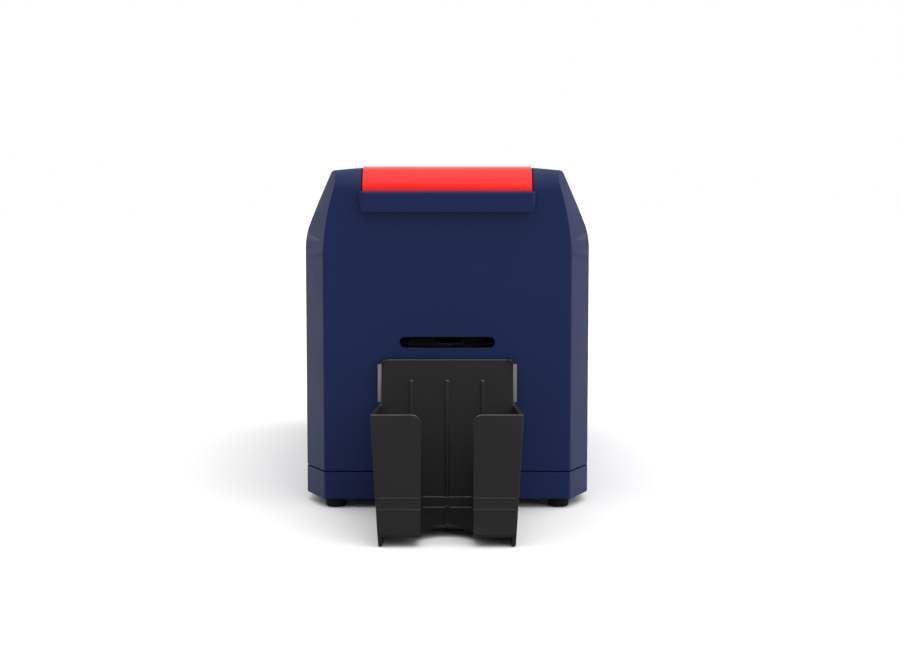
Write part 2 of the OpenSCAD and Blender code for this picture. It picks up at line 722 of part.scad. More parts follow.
// Driven rollers: a shaft, its rubber sleeves and the gear on its end
shaft_over = 3;
sleeve_l = 17;
sleeve_x = 9;
platen_l = 29;
feed_x = 11;
module roller_shaft(y) color(steel) placed()
    rod_x(-plate_x - plate_t - shaft_over, gear_x + gear_w, y, roller_z, shaft_r);
module sleeve(x0, x1, y) difference() {
    rod_x(x0, x1, y, roller_z, roller_r);
    rod_x(x0 - cut, x1 + cut, y, roller_z, shaft_r);
}
module sleeves(y) color(rubber_grey) placed() both_sides() sleeve(sleeve_x, sleeve_x + sleeve_l, y);
module exit_shaft() { roller_shaft(exit_y); }
module platen_shaft() { roller_shaft(platen_y); }
module transport_shaft() { roller_shaft(transport_y); }
module feed_shaft() { roller_shaft(feed_y); }
module exit_rubber() { sleeves(exit_y); }
module platen_rubber() color(rubber_grey) placed() sleeve(-platen_l, platen_l, platen_y);
module transport_rubber() { sleeves(transport_y); }
module feed_rubber() color(rubber_grey) placed() sleeve(-feed_x, feed_x, feed_y);
module pinch(y) placed() {
    rod_x(-plate_x - plate_t - cut, plate_x + plate_t + cut, y, pinch_z, pinch_shaft_r);
    rod_x(-platen_l, platen_l, y, pinch_z, pinch_r);
}
module exit_pinch_roller() color(acetal) pinch(exit_y);
module cleaning_roller() color(film_blue) pinch(transport_y);

// Involute gear outline: the flank leaves the tooth's middle at angle flank(r) at radius r
pressure = 20;
backlash = 0.12;
addendum_share = 0.95;
dedendum_share = 1.2;
web_share = 0.45;
function inv(a) = tan(a) * 180 / PI - a;
function flank(r, rb, half) = half + inv(pressure) - inv(acos(min(1, rb / r)));
function polar(r, a) = [r * cos(a), r * sin(a)];
function gear_points(n, m, phase) =
    let (rp = m * n / 2, rb = rp * cos(pressure), tip = rp + m * addendum_share)
    let (root = rp - m * dedendum_share, half = 90 / n - backlash / 2 / rp * 180 / PI)
    let (rs = [max(root, rb), rp, tip], fs = [for (r = rs) flank(r, rb, half)])
    [for (i = [0 : n - 1]) let (a = phase + i * 360 / n) each [
        polar(root, a - fs[0]), polar(rs[1], a - fs[1]), polar(rs[2], a - fs[2]),
        polar(rs[2], a + fs[2]), polar(rs[1], a + fs[1]), polar(root, a + fs[0])]];
hub_wall = 2.2;
rim_wall = 3;
hole_n = 6;
// Spur gear with a thinner web, a hub and holes through the web of the larger ones
module spur(n, m, phase, y, z, bore, w) {
    rp = m * n / 2;
    web_r = rp - m * dedendum_share - rim_wall;
    hub_r = bore + hub_wall;
    translate([gear_x + w / 2, y, z]) difference() {
        across(w) polygon(gear_points(n, m, phase));
        rod_x(-w, w, 0, 0, bore);
        if (web_r > hub_r + rim_wall) {
            difference() {
                rod_x(w / 2 - w * (1 - web_share) / 2, w, 0, 0, web_r);
                rod_x(-w, 2 * w, 0, 0, hub_r);
            }
            for (i = [1 : hole_n]) rotate([i * 360 / hole_n, 0, 0])
                rod_x(-w, w, (web_r + hub_r) / 2, 0, (web_r - hub_r) / 3);
        }
    }
}
module roller_gear(y) color(acetal) placed() spur(roller_teeth, gear_m, 0, y, roller_z, shaft_r, gear_w);
module idler(n, y) color(acetal) placed()
    spur(n, gear_m, 180 / n, y, roller_z, idler_pin_r + run_fit, gear_w);
module exit_gear() { roller_gear(exit_y); }
module platen_gear() { roller_gear(platen_y); }
module transport_gear() { roller_gear(transport_y); }
module feed_gear() { roller_gear(feed_y); }
module idler_front() { idler(front_teeth, front_idler_y); }
module idler_middle() { idler(idler_teeth, middle_idler_y); }
module idler_rear() { idler(idler_teeth, rear_idler_y); }

// Stepper motor below the card path and the pinion on its shaft
motor_w = 42.3;
motor_l = 34;
motor_shaft_r = 2.5;
motor_edge = 4;
motor_cap = 7;
module drive_motor() color(graphite) placed() difference() {
    union() {
        translate([plate_x - motor_l / 2, middle_idler_y, motor_z]) across(motor_l)
            polygon(rounded([for (p = [[-1, -1], [1, -1], [1, 1], [-1, 1]])
                [p[0] * motor_w / 2, p[1] * motor_w / 2, motor_edge]], 2));
        rod_x(plate_x, plate_x + plate_t, middle_idler_y, motor_z, motor_boss_r);
    }
    rod_x(plate_x - motor_l / 2, body_w, middle_idler_y, motor_z, motor_shaft_r + run_fit);
    // Shallow joints between the end caps and the laminated middle
    for (x = [plate_x - motor_cap, plate_x - motor_l + motor_cap]) difference() {
        block(x - leaf_t, x, middle_idler_y - motor_w, middle_idler_y + motor_w,
            motor_z - motor_w, motor_z + motor_w);
        block(x - motor_l, x + motor_l, middle_idler_y - motor_w / 2 + leaf_t,
            middle_idler_y + motor_w / 2 - leaf_t, motor_z - motor_w / 2 + leaf_t,
            motor_z + motor_w / 2 - leaf_t);
    }
}
module motor_pinion() color(zinc) placed() {
    spur(pinion_teeth, gear_m, 0, middle_idler_y, motor_z, motor_shaft_r / 2, gear_w);
    rod_x(plate_x - motor_l / 2 + cut, gear_x + gear_w + cut, middle_idler_y, motor_z, motor_shaft_r);
}

// Ribbon drive: a wheel on the take-up spool drops into mesh with a small motor's pinion
ribbon_m = 1.0;
ribbon_teeth = 40;
ribbon_pinion_teeth = 12;
ribbon_pinion_z = take_up_z - ribbon_m * (ribbon_teeth + ribbon_pinion_teeth) / 2;
ribbon_motor_r = 10;
ribbon_motor_l = 26;
ribbon_boss_r = 4;
ribbon_shaft_r = 1.5;
module ribbon_motor() color(steel) placed() difference() {
    union() {
        rod_x(plate_x - ribbon_motor_l, plate_x, take_up_y, ribbon_pinion_z, ribbon_motor_r);
        rod_x(plate_x, plate_x + plate_t, take_up_y, ribbon_pinion_z, ribbon_boss_r);
    }
    rod_x(plate_x - ribbon_motor_l / 2, body_w, take_up_y, ribbon_pinion_z, ribbon_shaft_r + run_fit);
}
module ribbon_pinion() color(zinc) placed() {
    spur(ribbon_pinion_teeth, ribbon_m, 180 / ribbon_pinion_teeth, take_up_y, ribbon_pinion_z,
        ribbon_shaft_r / 2, gear_w);
    rod_x(plate_x - ribbon_motor_l / 2 + cut, gear_x + gear_w + cut, take_up_y,
        ribbon_pinion_z, ribbon_shaft_r);
}
module ribbon_gear() color(acetal) placed()
    spur(ribbon_teeth, ribbon_m, 0, take_up_y, take_up_z, hub_r, gear_w);

// Ribbon cassette: two cheeks with bosses, tied by the guide bars the film runs round
cheek_x = 39.5;
cheek_w = 2.4;
hub_r = 5;
guide_r = 2.5;
guide_reach = 24;
guide_rise = 7;
guide_in_y = platen_y + guide_reach;
guide_out_y = platen_y - guide_reach;
guide_z = card_z + guide_rise;
core_r = 8;
spool_end_gap = 0.4;
roll_half = 31;
take_up_roll_r = 12;
supply_roll_r = 21;
spool_flange_t = 1.6;
bar_lift = 17;
module hulled(p, q, r) { hull() for (c = [p, q]) translate(c) circle(r = r, $fn = 32); }
module ribbon_cassette() color(graphite) placed() {
    a = [take_up_y, take_up_z];
    b = [supply_y, supply_z];
    both_sides() difference() {
        union() {
            translate([cheek_x + cheek_w / 2, 0, 0]) across(cheek_w) {
                hulled(a, [guide_out_y, guide_z], hub_r + cheek_w);
                hulled([guide_in_y, guide_z], b, hub_r + cheek_w);
                hulled(a + [bar_lift, 0], b, hub_r);
            }
            for (p = [a, b]) rod_x(cheek_x, plate_x + plate_t - cheek_w / 6, p[0], p[1], notch_r);
        }
        for (p = [a, b]) rod_x(0, body_w, p[0], p[1], hub_r + run_fit);
    }
    for (y = [guide_in_y, guide_out_y])
        rod_x(-cheek_x - cheek_w / 2, cheek_x + cheek_w / 2, y, guide_z, guide_r);
}
// A spool: hollow core, a flange at each end and hubs that turn in the cheeks
module spool(y, z, hub_end, flange_r) {
    x1 = cheek_x - spool_end_gap;
    rod_x(-hub_end, hub_end, y, z, hub_r);
    rod_x(-x1, x1, y, z, core_r);
    both_sides() difference() {
        rod_x(roll_half + seat, roll_half + seat + spool_flange_t, y, z, flange_r);
        for (i = [0 : hole_n - 1]) translate([0, y, z]) rotate([i * 360 / hole_n, 0, 0])
            rod_x(0, body_w, (core_r + flange_r) / 2, 0, spool_flange_t);
    }
}
module take_up_spool() color(black) placed() {
    spool(take_up_y, take_up_z, plate_x + plate_t + cut / 2, take_up_roll_r + spool_flange_t);
    rod_x(0, gear_x + gear_w + cut, take_up_y, take_up_z, hub_r);
}
module supply_spool() color(black) placed()
    spool(supply_y, supply_z, plate_x + plate_t + cut / 2, supply_roll_r + spool_flange_t);
module roll(y, z, r) difference() {
    rod_x(-roll_half, roll_half, y, z, r);
    rod_x(-body_w, body_w, y, z, core_r);
}
module take_up_roll() color(film_blue) placed() roll(take_up_y, take_up_z, take_up_roll_r);
module supply_roll() color(film_blue) placed() roll(supply_y, supply_z, supply_roll_r);

// Film between the rolls: each stretch is a tangent from a roll to the foot of the head
film_t = 0.3;
film_gap = 0.7;
film_low_z = card_z + card_t / 2 + film_gap / 2;
function tangent(c, r, p, turn) =
    let (d = norm(p - c), a = atan2(p[1] - c[1], p[0] - c[0]) + turn * acos(r / d))
    c + r * [cos(a), sin(a)];
module film_stretch(p, q) {
    n = unit([p[1] - q[1], q[0] - p[0]]) * film_t / 2;
    polygon([p - n, q - n, q + n, p + n]);
}
// Quarter turn of film round the guide bar at [y, guide_z], on the side away from the head
module film_turn(y, side) translate([y, guide_z]) difference() {
    circle(r = guide_r + film_gap + film_t / 2);
    circle(r = guide_r + film_gap - film_t / 2);
    translate([-body_h, 0]) square(2 * body_h);
    translate([side > 0 ? -body_h : 0, -body_h]) square(body_h);
}
module ribbon_film() color(film_blue) placed() across(2 * roll_half - 2 * seat) {
    r = guide_r + film_gap;
    low = film_low_z + film_t / 2;
    foot_out = [platen_y - head_l / 2, low];
    foot_in = [platen_y + head_l / 2, low];
    out_turn = [guide_out_y - r, guide_z];
    in_turn = [guide_in_y + r, guide_z];
    film_stretch(foot_out, foot_in);
    film_stretch([guide_out_y, guide_z - r], foot_out);
    film_stretch(foot_in, [guide_in_y, guide_z - r]);
    film_turn(guide_out_y, -1);
    film_turn(guide_in_y, 1);
    film_stretch(tangent([take_up_y, take_up_z], take_up_roll_r + film_gap, out_turn, 1), out_turn);
    film_stretch(in_turn, tangent([supply_y, supply_z], supply_roll_r + film_gap, in_turn, -1));
}

// Card magazine: trough behind the feed roller, open to the rear door and to the gate
trough_x = card_w / 2 + 0.7;
trough_wall = 2.4;
trough_y0 = feed_y - 22;
trough_y1 = body_l - wall - 4;
trough_h = 80;
trough_floor_z = card_z - card_t / 2;
gate_gap = 1.4;
feed_slot = 1.2;
weight_slot_w = 7;
weight_arm_w = 6;
module card_magazine() color(black) placed() {
    w = trough_x + trough_wall;
    z1 = trough_floor_z + trough_h;
    difference() {
        block(-w, w, trough_y0, trough_y1, trough_floor_z - trough_wall, z1);
        block(-trough_x, trough_x, trough_y0 - cut, trough_y1 + cut, trough_floor_z, z1 + cut);
        // Window in the floor for the feed roller and finger notch at the rear
        block(-feed_x - feed_slot, feed_x + feed_slot, feed_y - roller_r - feed_slot,
            feed_y + roller_r + feed_slot, 0, trough_floor_z + cut);
        translate([0, trough_y1, 0]) cylinder(h = body_h, r = trough_x / 2);
        // Upright slots that guide the arms of the weight
        block(-body_w, body_w, weight_y - weight_slot_w / 2, weight_y + weight_slot_w / 2,
            trough_floor_z + gate_gap, z1 + cut);
    }
    // Brackets out to the side plates
    both_sides() for (y = [trough_y0, plate_y1 - 2 * flange_w])
        block(w, plate_x, y, y + flange_w, trough_floor_z - trough_wall, trough_floor_z + trough_wall);
}
// Gate: plate that closes the magazine's front but for one card's height, hung over its walls
module card_gate() color(graphite) placed() {
    z1 = trough_floor_z + trough_h;
    w = trough_x + trough_wall;
    block(-trough_x, trough_x, trough_y0, trough_y0 + trough_wall, trough_floor_z + gate_gap, z1);
    block(-w, w, trough_y0, trough_y0 + trough_wall, z1, z1 + trough_wall);
}
weight_y = feed_y + card_l / 2 - roller_r;
weight_t = 9;
weight_l = 62;
module card_weight() color(graphite) placed() {
    z0 = trough_floor_z + gate_gap + seat;
    w = trough_x - seat;
    difference() {
        block(-w, w, weight_y - weight_l / 2, weight_y + weight_l / 2, z0, z0 + weight_t);
        block(-w / 2, w / 2, weight_y - weight_l / 3, weight_y + weight_l / 3, z0 + weight_t / 2,
            z0 + weight_t + cut);
    }
    // Arms through the slots, with finger pads outside the trough
    block(-trough_x - 3 * trough_wall, trough_x + 3 * trough_wall, weight_y - weight_arm_w / 2,
        weight_y + weight_arm_w / 2, z0, z0 + weight_t);
}

// Rails that carry the card between the rollers
rail_x0 = 25.5;
rail_x1 = 30;
rail_t = 1.6;
rail_gap = 1.5;
module card_guides() color(black) placed() both_sides() {
    for (span = [[exit_y, platen_y], [platen_y, transport_y],
        [transport_y, trough_y0 - seat + roller_r + rail_gap]])
        difference() {
            block(rail_x0, plate_x, span[0] + roller_r + rail_gap, span[1] - roller_r - rail_gap,
                trough_floor_z - rail_t, trough_floor_z);
            block(rail_x1, plate_x - rail_t, span[0] + 2 * roller_r, span[1] - 2 * roller_r,
                0, body_h);
        }
}

// Rear card door: a plate on a round knuckle with a pin at each end and a finger hollow
door_t = 2.5;
pull_r = 9;
door_rib = 1.6;
module feeder_door() color(navy) placed() {
    y0 = body_l - door_t;
    difference() {
        union() {
            block(-door_w / 2, door_w / 2, y0, body_l, door_axis_z, door_top_z);
            rod_x(-door_w / 2, door_w / 2, door_axis_y, door_axis_z, door_knuckle_r);
            // Stiffening ribs on the inside
            for (x = [-1, 0, 1]) block(x * door_w / 3 - door_rib / 2, x * door_w / 3 + door_rib / 2,
                y0 - door_rib, y0 + door_rib, door_axis_z + door_knuckle_r, door_top_z - 2 * pull_r);
        }
        rod_y(y0 - cut, body_l + cut, 0, door_top_z, pull_r);
    }
    both_sides() rod_x(0, door_w / 2 + door_pin_l, door_axis_y, door_axis_z, door_pin_r);
}

// Main circuit board on four posts, with its larger parts
board_x = 40;
board_y0 = 150;
board_y1 = 352;
board_t = 1.6;
post_h = 5;
post_r = 3.2;
post_inset = 6;
chip = 18;
chip_t = 2.4;
cap_r = 5;
cap_h = 14;
module main_board() color(board_green) placed() {
    z0 = floor_z + post_h;
    block(-board_x, board_x, board_y0, board_y1, z0, z0 + board_t);
    for (x = [-1, 1], y = [board_y0 + post_inset, board_y1 - post_inset])
        translate([x * (board_x - post_inset), y, floor_z]) cylinder(h = post_h, r = post_r);
    for (p = [[-chip, board_y0 + 2 * chip], [chip, board_y0 + 5 * chip]])
        block(p[0] - chip / 2, p[0] + chip / 2, p[1] - chip / 2, p[1] + chip / 2,
            z0 + board_t, z0 + board_t + chip_t);
    for (i = [0 : 3]) translate([-chip + i * 3 * cap_r, board_y1 - 2 * chip, z0 + board_t])
        cylinder(h = cap_h, r = cap_r);
}

// Card bin: side walls that spread upwards, leaning back plate and front flaps, and a floor
bin_clear = 0.4;
bin_back_y = 2;
bin_ear_y = 6;
bin_corner = 4;
bin_shoulder_z = 68.8;
flap_low_z = 8;
flap_r = 5;
lobe_r = 3;
floor_back_z = 6.2;
floor_front_z = 7.2;
floor_back_y = 20;
floor_t = 1.6;
floor_edge_r = 2;
floor_rib_h = 0.8;
notch_half = 15.3;
notch_in = 12;
rib_w = 2;
rib_h = 1.8;
rib_x = 22.8;
rib_top_z = 84.6;
ledge_z = 12.4;
ledge_t = 2;
ridge_zs = [28, 21.5];
ridge_h = 0.4;
hanger_w = 15;
hanger_z0 = 51;
hanger_z1 = 83;
hanger_t = 2.2;
hanger_gap = 0.5;
stud_play = 0.3;
lean_run = tan(bin_lean);
// Half width of the bin's outside at height z, drawn in by k
function bin_half(z, k) = bin_foot_w / 2 + (bin_top_w - bin_foot_w) / 2 * min(z, flap_z) / flap_z - k;
module bin_front(k) {
    polygon([for (s = [1, -1], i = [0 : 3]) let (j = s > 0 ? i : 3 - i, z = [0, flap_z,
        back_z - bin_corner, back_z][j]) [s * (bin_half(z, k) - (j == 3 ? bin_corner : 0)), z]]);
}
// Keep what lies between the side walls, drawn in by k
module bin_part(k) {
    intersection() {
        along(-bin_reach - cut, cut) bin_front(k);
        children();
    }
}
// Sheet of thickness t that leans like the back plate, its rear face at y_top at height z_top
module bin_sheet(y_top, z_top, t, z0, z1, w) {
    y0 = y_top - (z_top - z0) * lean_run;
    y1 = y_top - (z_top - z1) * lean_run;
    across(w) polygon([[y0, z0], [y1, z1], [y1 - t, z1], [y0 - t, z0]]);
}
module hopper_bin() color(black) placed() {
    flap_y = -bin_reach + (flap_z - flap_low_z) * lean_run;
    // Side walls, with ears that stand beside the back plate
    difference() {
        bin_part(0) across(2 * bin_top_w) polygon(rounded([[-bin_clear, 2 * floor_back_z, lobe_r],
            [-bin_clear, back_z, 0], [-bin_ear_y, back_z, 0], [-bin_ear_y, bin_shoulder_z, 0],
            [flap_y, flap_z, 0], [-bin_reach, flap_low_z, 0],
            [-bin_reach + bin_wall / 2, bin_clear, lobe_r / 2], [-floor_back_y, bin_clear, lobe_r]],
            section_steps));
        along(-bin_reach - cut, cut) bin_front(bin_wall);
    }
    // Back plate, its three ribs and the step at its foot
    difference() {
        bin_part(bin_wall / 2)
            bin_sheet(-bin_back_y, back_z, bin_wall, floor_back_z, back_z, bin_top_w);
        // The plate stands between the strips on the ears
        both_sides() block(strip_x, bin_top_w, -bin_reach, 0, strip_z0, back_z + cut);
    }
    for (x = [-rib_x, 0, rib_x]) translate([x, 0, 0]) {
        bin_sheet(-bin_back_y - bin_wall / 2, back_z, bin_wall / 2 + rib_h, ledge_z, rib_top_z, rib_w);
    }
    bin_part(bin_wall / 2)
        bin_sheet(-bin_back_y - bin_wall / 2, back_z, bin_wall / 2 + ledge_t, floor_back_z, ledge_z,
            bin_top_w);
    // Thin floor held clear of the table, with a rib along its middle, a rounded front
    // edge below the flaps and a finger notch
    difference() {
        union() {
            bin_part(bin_wall / 2) across(bin_top_w) polygon(rounded([
                [-floor_back_y, floor_back_z, 0], [-bin_reach + bin_wall, floor_front_z, 0],
                [-bin_reach + bin_wall, flap_low_z + bin_wall, 0],
                [-bin_reach, flap_low_z, 0], [-bin_reach, floor_front_z - floor_t, floor_edge_r],
                [-floor_back_y, floor_back_z - floor_t, 0]], section_steps));
            across(rib_w) polygon([[-floor_back_y, floor_back_z - floor_t / 2],
                [-floor_back_y, floor_back_z + floor_rib_h],
                [-bin_reach + bin_wall, floor_front_z + floor_rib_h],
                [-bin_reach + bin_wall, floor_front_z - floor_t / 2]]);
        }
        translate([0, notch_in - bin_reach, 0])
            cylinder(h = body_h, r = notch_half, center = true);
        block(-notch_half, notch_half, -bin_reach - cut, notch_in - bin_reach, -cut, body_h);
    }
    // Flaps with rounded inner top corners and two faint ridges
    intersection() {
        bin_part(bin_wall / 2) union() {
            bin_sheet(flap_y + bin_wall, flap_z, bin_wall, flap_low_z, flap_z, 2 * bin_top_w);
            for (z = ridge_zs) bin_sheet(flap_y + bin_wall / 2, flap_z, bin_wall / 2 + ridge_h,
                z - ridge_h, z + ridge_h, 2 * bin_top_w);
        }
        along(-2 * bin_reach, 0) for (s = [0, 1]) mirror([s, 0]) polygon(rounded([
            [flap_gap / 2, flap_low_z, 0], [flap_gap / 2, flap_z, flap_r],
            [bin_top_w, flap_z, 0], [bin_top_w, flap_low_z, 0]], section_steps));
    }
    // Hangers behind the back plate: slots open below that drop over the studs
    both_sides() difference() {
        block(stud_x - hanger_w / 2, bin_half(hanger_z0, bin_wall / 2), -hanger_gap - hanger_t,
            -hanger_gap, hanger_z0, hanger_z1);
        rod_y(-bin_reach, 0, stud_x, stud_z, stud_r + stud_play);
        block(stud_x - stud_r - stud_play, stud_x + stud_r + stud_play, -bin_reach, 0, 0, stud_z);
    }
}
// Bright wear strips on the front edges of the bin's ears
strip_w = 2.4;
strip_t = 0.8;
strip_z0 = 70.7;
strip_z1 = 94.9;
strip_x = bin_top_w / 2 - strip_w - seat;
module hopper_strips() color(steel) placed() both_sides()
    block(strip_x, strip_x + strip_w, -bin_ear_y - strip_t, -bin_ear_y, strip_z0, strip_z1);

base_tray();
upper_housing();
rear_panel();
slot_bezel();
foot_front_left();
foot_front_right();
foot_rear_left();
foot_rear_right();
side_plate_left();
side_plate_right();
cross_bars();
hinge_pins();
roller_bushes();
drive_motor();
ribbon_motor();
main_board();
card_magazine();
card_gate();
ribbon_cassette();
ribbon_film();
power_inlet();
data_ports();
switch_housing();
fan_frame();
card_guides();
lid_shell();
lid_panel();
head_bracket();
print_head();
head_springs();
hopper_bin();
hopper_strips();
exit_shaft();
exit_rubber();
exit_gear();
platen_shaft();
platen_rubber();
platen_gear();
transport_shaft();
transport_rubber();
transport_gear();
feed_shaft();
feed_rubber();
feed_gear();
idler_front();
idler_middle();
idler_rear();
motor_pinion();
exit_pinch_roller();
cleaning_roller();
take_up_spool();
take_up_roll();
supply_spool();
supply_roll();
ribbon_gear();
ribbon_pinion();
fan_rotor();
card_weight();
feeder_door();
power_rocker();
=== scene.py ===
"""Dresses the card printer: finishes for every piece, softened casings, fasteners and fittings."""

import json
import logging
import math
from collections.abc import Callable
from dataclasses import dataclass
from enum import Enum

import bpy
from mathutils import Matrix, Vector

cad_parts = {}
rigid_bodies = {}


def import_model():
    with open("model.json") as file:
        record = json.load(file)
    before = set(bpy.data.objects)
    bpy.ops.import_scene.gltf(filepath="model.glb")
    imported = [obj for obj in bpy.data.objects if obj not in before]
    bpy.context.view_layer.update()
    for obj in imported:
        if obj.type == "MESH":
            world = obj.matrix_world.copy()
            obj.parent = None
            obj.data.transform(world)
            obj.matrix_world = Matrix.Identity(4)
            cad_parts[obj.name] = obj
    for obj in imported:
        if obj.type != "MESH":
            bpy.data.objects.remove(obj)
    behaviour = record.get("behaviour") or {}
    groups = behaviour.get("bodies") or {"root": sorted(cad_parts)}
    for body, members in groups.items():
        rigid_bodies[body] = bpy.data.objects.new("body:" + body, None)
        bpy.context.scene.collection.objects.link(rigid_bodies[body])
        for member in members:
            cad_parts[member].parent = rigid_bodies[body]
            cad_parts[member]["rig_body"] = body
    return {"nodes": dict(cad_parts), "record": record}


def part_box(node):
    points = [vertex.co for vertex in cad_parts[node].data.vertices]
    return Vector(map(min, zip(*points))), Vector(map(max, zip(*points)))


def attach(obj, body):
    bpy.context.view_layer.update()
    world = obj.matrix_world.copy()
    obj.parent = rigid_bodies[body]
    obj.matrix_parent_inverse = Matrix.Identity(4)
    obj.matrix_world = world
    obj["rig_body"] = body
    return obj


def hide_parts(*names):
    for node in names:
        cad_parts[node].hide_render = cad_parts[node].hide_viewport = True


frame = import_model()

Colour = tuple[float, float, float, float]
Triple = tuple[float, float, float]
Pair = tuple[float, float]
Piece = bpy.types.Object
Socket = bpy.types.NodeSocket

LOG = logging.getLogger("card_printer")
MM = 0.001
IMAGE_W = 900
SENSOR_MM = 36.0
# Edges up to this angle are shaded smooth
SMOOTH_DEG = 32
# Least share of a face's normal along Z that counts as a top
TOP_FACE = 0.9
# Height of the board's upper side over the foot of its box, in millimetres
BOARD_TOP = 6.6


class Coat(Enum):
    """The finishes that the printer's pieces are made in."""

    NAVY = "navy_plastic"
    RED = "red_plastic"
    BLACK = "black_plastic"
    GREY = "grey_plastic"
    FOOT = "foot_rubber"
    ROLLER = "roller_rubber"
    ACETAL = "acetal"
    ZINC = "zinc_sheet"
    STEEL = "bright_steel"
    LACQUER = "black_metal"
    ALUMINIUM = "aluminium"
    FILM = "ribbon_film"
    BOARD = "board"
    STRIP = "satin_strip"
    LINER = "slot_liner"
    GOLD = "gold_contact"
    PACKAGE = "chip_package"
    CERAMIC = "heater_strip"
    # Black plastic with a painted highlight on the card bin's rims
    BIN = "bin_plastic"

    @property
    def slot(self) -> str:
        """Name of the record's material slot that the finish belongs to."""
        return KIN.get(self, self).value


# Slots of the record for the finishes that the record doesn't name
KIN: dict[Coat, Coat] = {
    Coat.STRIP: Coat.STEEL,
    Coat.LINER: Coat.BLACK,
    Coat.GOLD: Coat.STEEL,
    Coat.PACKAGE: Coat.BOARD,
    Coat.CERAMIC: Coat.ALUMINIUM,
    Coat.BIN: Coat.BLACK,
}


class Axis(Enum):
    """Direction in which a finish is brushed, turned or ground."""

    ACROSS = (1, 0.06, 1)
    ALONG = (0.06, 1, 1)
    NONE = (1, 1, 1)


class Facing(Enum):
    """Way that a fitting's top looks."""

    UP = (0, 0, 1)
    DOWN = (0, 0, -1)
    REAR = (0, 1, 0)
    RIGHT = (1, 0, 0)


def linear(colour: tuple[int, int, int]) -> Triple:
    """Turn a colour from display values into the renderer's own.

    Args:
        colour: Red, green and blue from 0 to 255.

    Returns:
        The same three from 0 to 1.
    """
    return tuple(
        value / 255 / 12.92 if value <= 10 else ((value / 255 + 0.055) / 1.055) ** 2.4
        for value in colour)


@dataclass(frozen=True)
class Graph:
    """A node tree, with short ways to add and join its nodes.

    Attributes:
        tree: The tree of a material or of the world.
    """

    tree: bpy.types.NodeTree

    def add(self, kind: str, **values: object) -> bpy.types.Node:
        """Add a node.

        Args:
            kind: Its type, without the prefix that all shader nodes share.
            values: What feeds its inputs, by name with underscores for spaces.

        Returns:
            The node.
        """
        node = self.tree.nodes.new("ShaderNode" + kind)
        for name, value in values.items():
            self.feed(node.inputs[name.replace("_", " ")], value)
        return node

    def feed(self, target: Socket, value: object) -> None:
        """Feed an input.

        Args:
            target: The input.
            value: An output to join to it, or what is typed into it.
        """
        if isinstance(value, Socket):
            self.tree.links.new(value, target)
        else:
            target.default_value = value

    def noise(self, place: Socket, size: float, detail: float) -> Socket:
        """Add a noise pattern over a place, with features of a size in millimetres."""
        noise = self.add("TexNoise", Vector=place, Scale=1 / (size * MM), Detail=detail)
        return noise.outputs["Fac"]

    def span(self, source: Socket, given: Pair, wanted: Pair) -> Socket:
        """Stretch a given range of numbers over the wanted one."""
        return self.add("MapRange", Value=source, From_Min=given[0], From_Max=given[1],
                        To_Min=wanted[0], To_Max=wanted[1]).outputs["Result"]

    def reckon(self, operation: str, first: Socket, second: Socket | float = 0.0) -> Socket:
        """Reckon with two numbers.

        Args:
            operation: Name of the operation.
            first: Output with the first number.
            second: Output with the second number, or the number itself.

        Returns:
            The result.
        """
        node = self.add("Math")
        node.operation = operation
        self.feed(node.inputs[0], first)
        self.feed(node.inputs[1], second)
        return node.outputs[0]

    def tint(self, share: Socket, under: Socket, over: Colour) -> Socket:
        """Lay a colour over another.

        Args:
            share: How much of the upper colour shows.
            under: Output with the lower colour.
            over: The upper colour.

        Returns:
            The mixed colour.
        """
        mix = self.add("Mix")
        mix.data_type = "RGBA"
        for index, value in ((0, share), (6, under), (7, over)):
            self.feed(mix.inputs[index], value)
        return mix.outputs[2]

    def ramp(self, source: Socket, stops: list[tuple[float, Colour]]) -> Socket:
        """Turn numbers into colours.

        Args:
            source: Output with the numbers.
            stops: Places from zero to one, each with its colour.

        Returns:
            The colours.
        """
        node = self.add("ValToRGB", Fac=source)
        elements = node.color_ramp.elements
        for position, _ in stops[1:-1]:
            elements.new(position)
        for element, (position, colour) in zip(elements, stops):
            element.position, element.color = position, colour
        return node.outputs["Color"]


@dataclass(frozen=True)
class PaintedRimHighlight:
    """Painted highlight: a light band where a face looking ahead rolls over into one looking up.

    It is painted only on high rims and near the middle, where light from above would reach it.

    Attributes:
        level: Lightness of the painted highlight.
    """

    level: float

    # How far the roll is widened, in millimetres, and the looks at the faces around it
    RADIUS, SAMPLES = 0.16, 6
    # Shares of the normal along Z where the painted highlight starts, is full, is still full and
    # ends, and shares along X between which it fades
    BAND, AHEAD = (0.35, 0.6, 0.8, 0.95), (0.15, 0.4)
    # Distances from the middle between which the low painted highlights fade, and the height
    # above which none does, in millimetres
    MIDDLE, HIGH = (15.0, 15.2), 60.0

    def lay(self, graph: Graph, place: Socket, under: Socket) -> Socket:
        """Paint the highlight band over a colour.

        Args:
            graph: The material's nodes.
            place: Output that gives the place.
            under: Output with the colour under it.

        Returns:
            The colour with its painted rim highlights.
        """
        rolled = graph.add("Bevel", Radius=self.RADIUS * MM)
        rolled.samples = self.SAMPLES
        turned = graph.add("SeparateXYZ", Vector=rolled.outputs["Normal"]).outputs
        placed = graph.add("SeparateXYZ", Vector=place).outputs
        levels = ((0, 0, 0, 1), (1, 1, 1, 1), (1, 1, 1, 1), (0, 0, 0, 1))
        band = graph.ramp(turned["Z"], list(zip(self.BAND, levels)))
        ahead = graph.span(graph.reckon("ABSOLUTE", turned["X"]), self.AHEAD, (1, 0))
        inner, outer = (part * MM for part in self.MIDDLE)
        middle = graph.span(graph.reckon("ABSOLUTE", placed["X"]), (inner, outer), (1, 0))
        high = graph.reckon("GREATER_THAN", placed["Z"], self.HIGH * MM)
        where = graph.reckon("MULTIPLY", graph.reckon("MAXIMUM", high, middle), ahead)
        return graph.tint(graph.reckon("MULTIPLY", where, band), under, (*[self.level] * 3, 1))


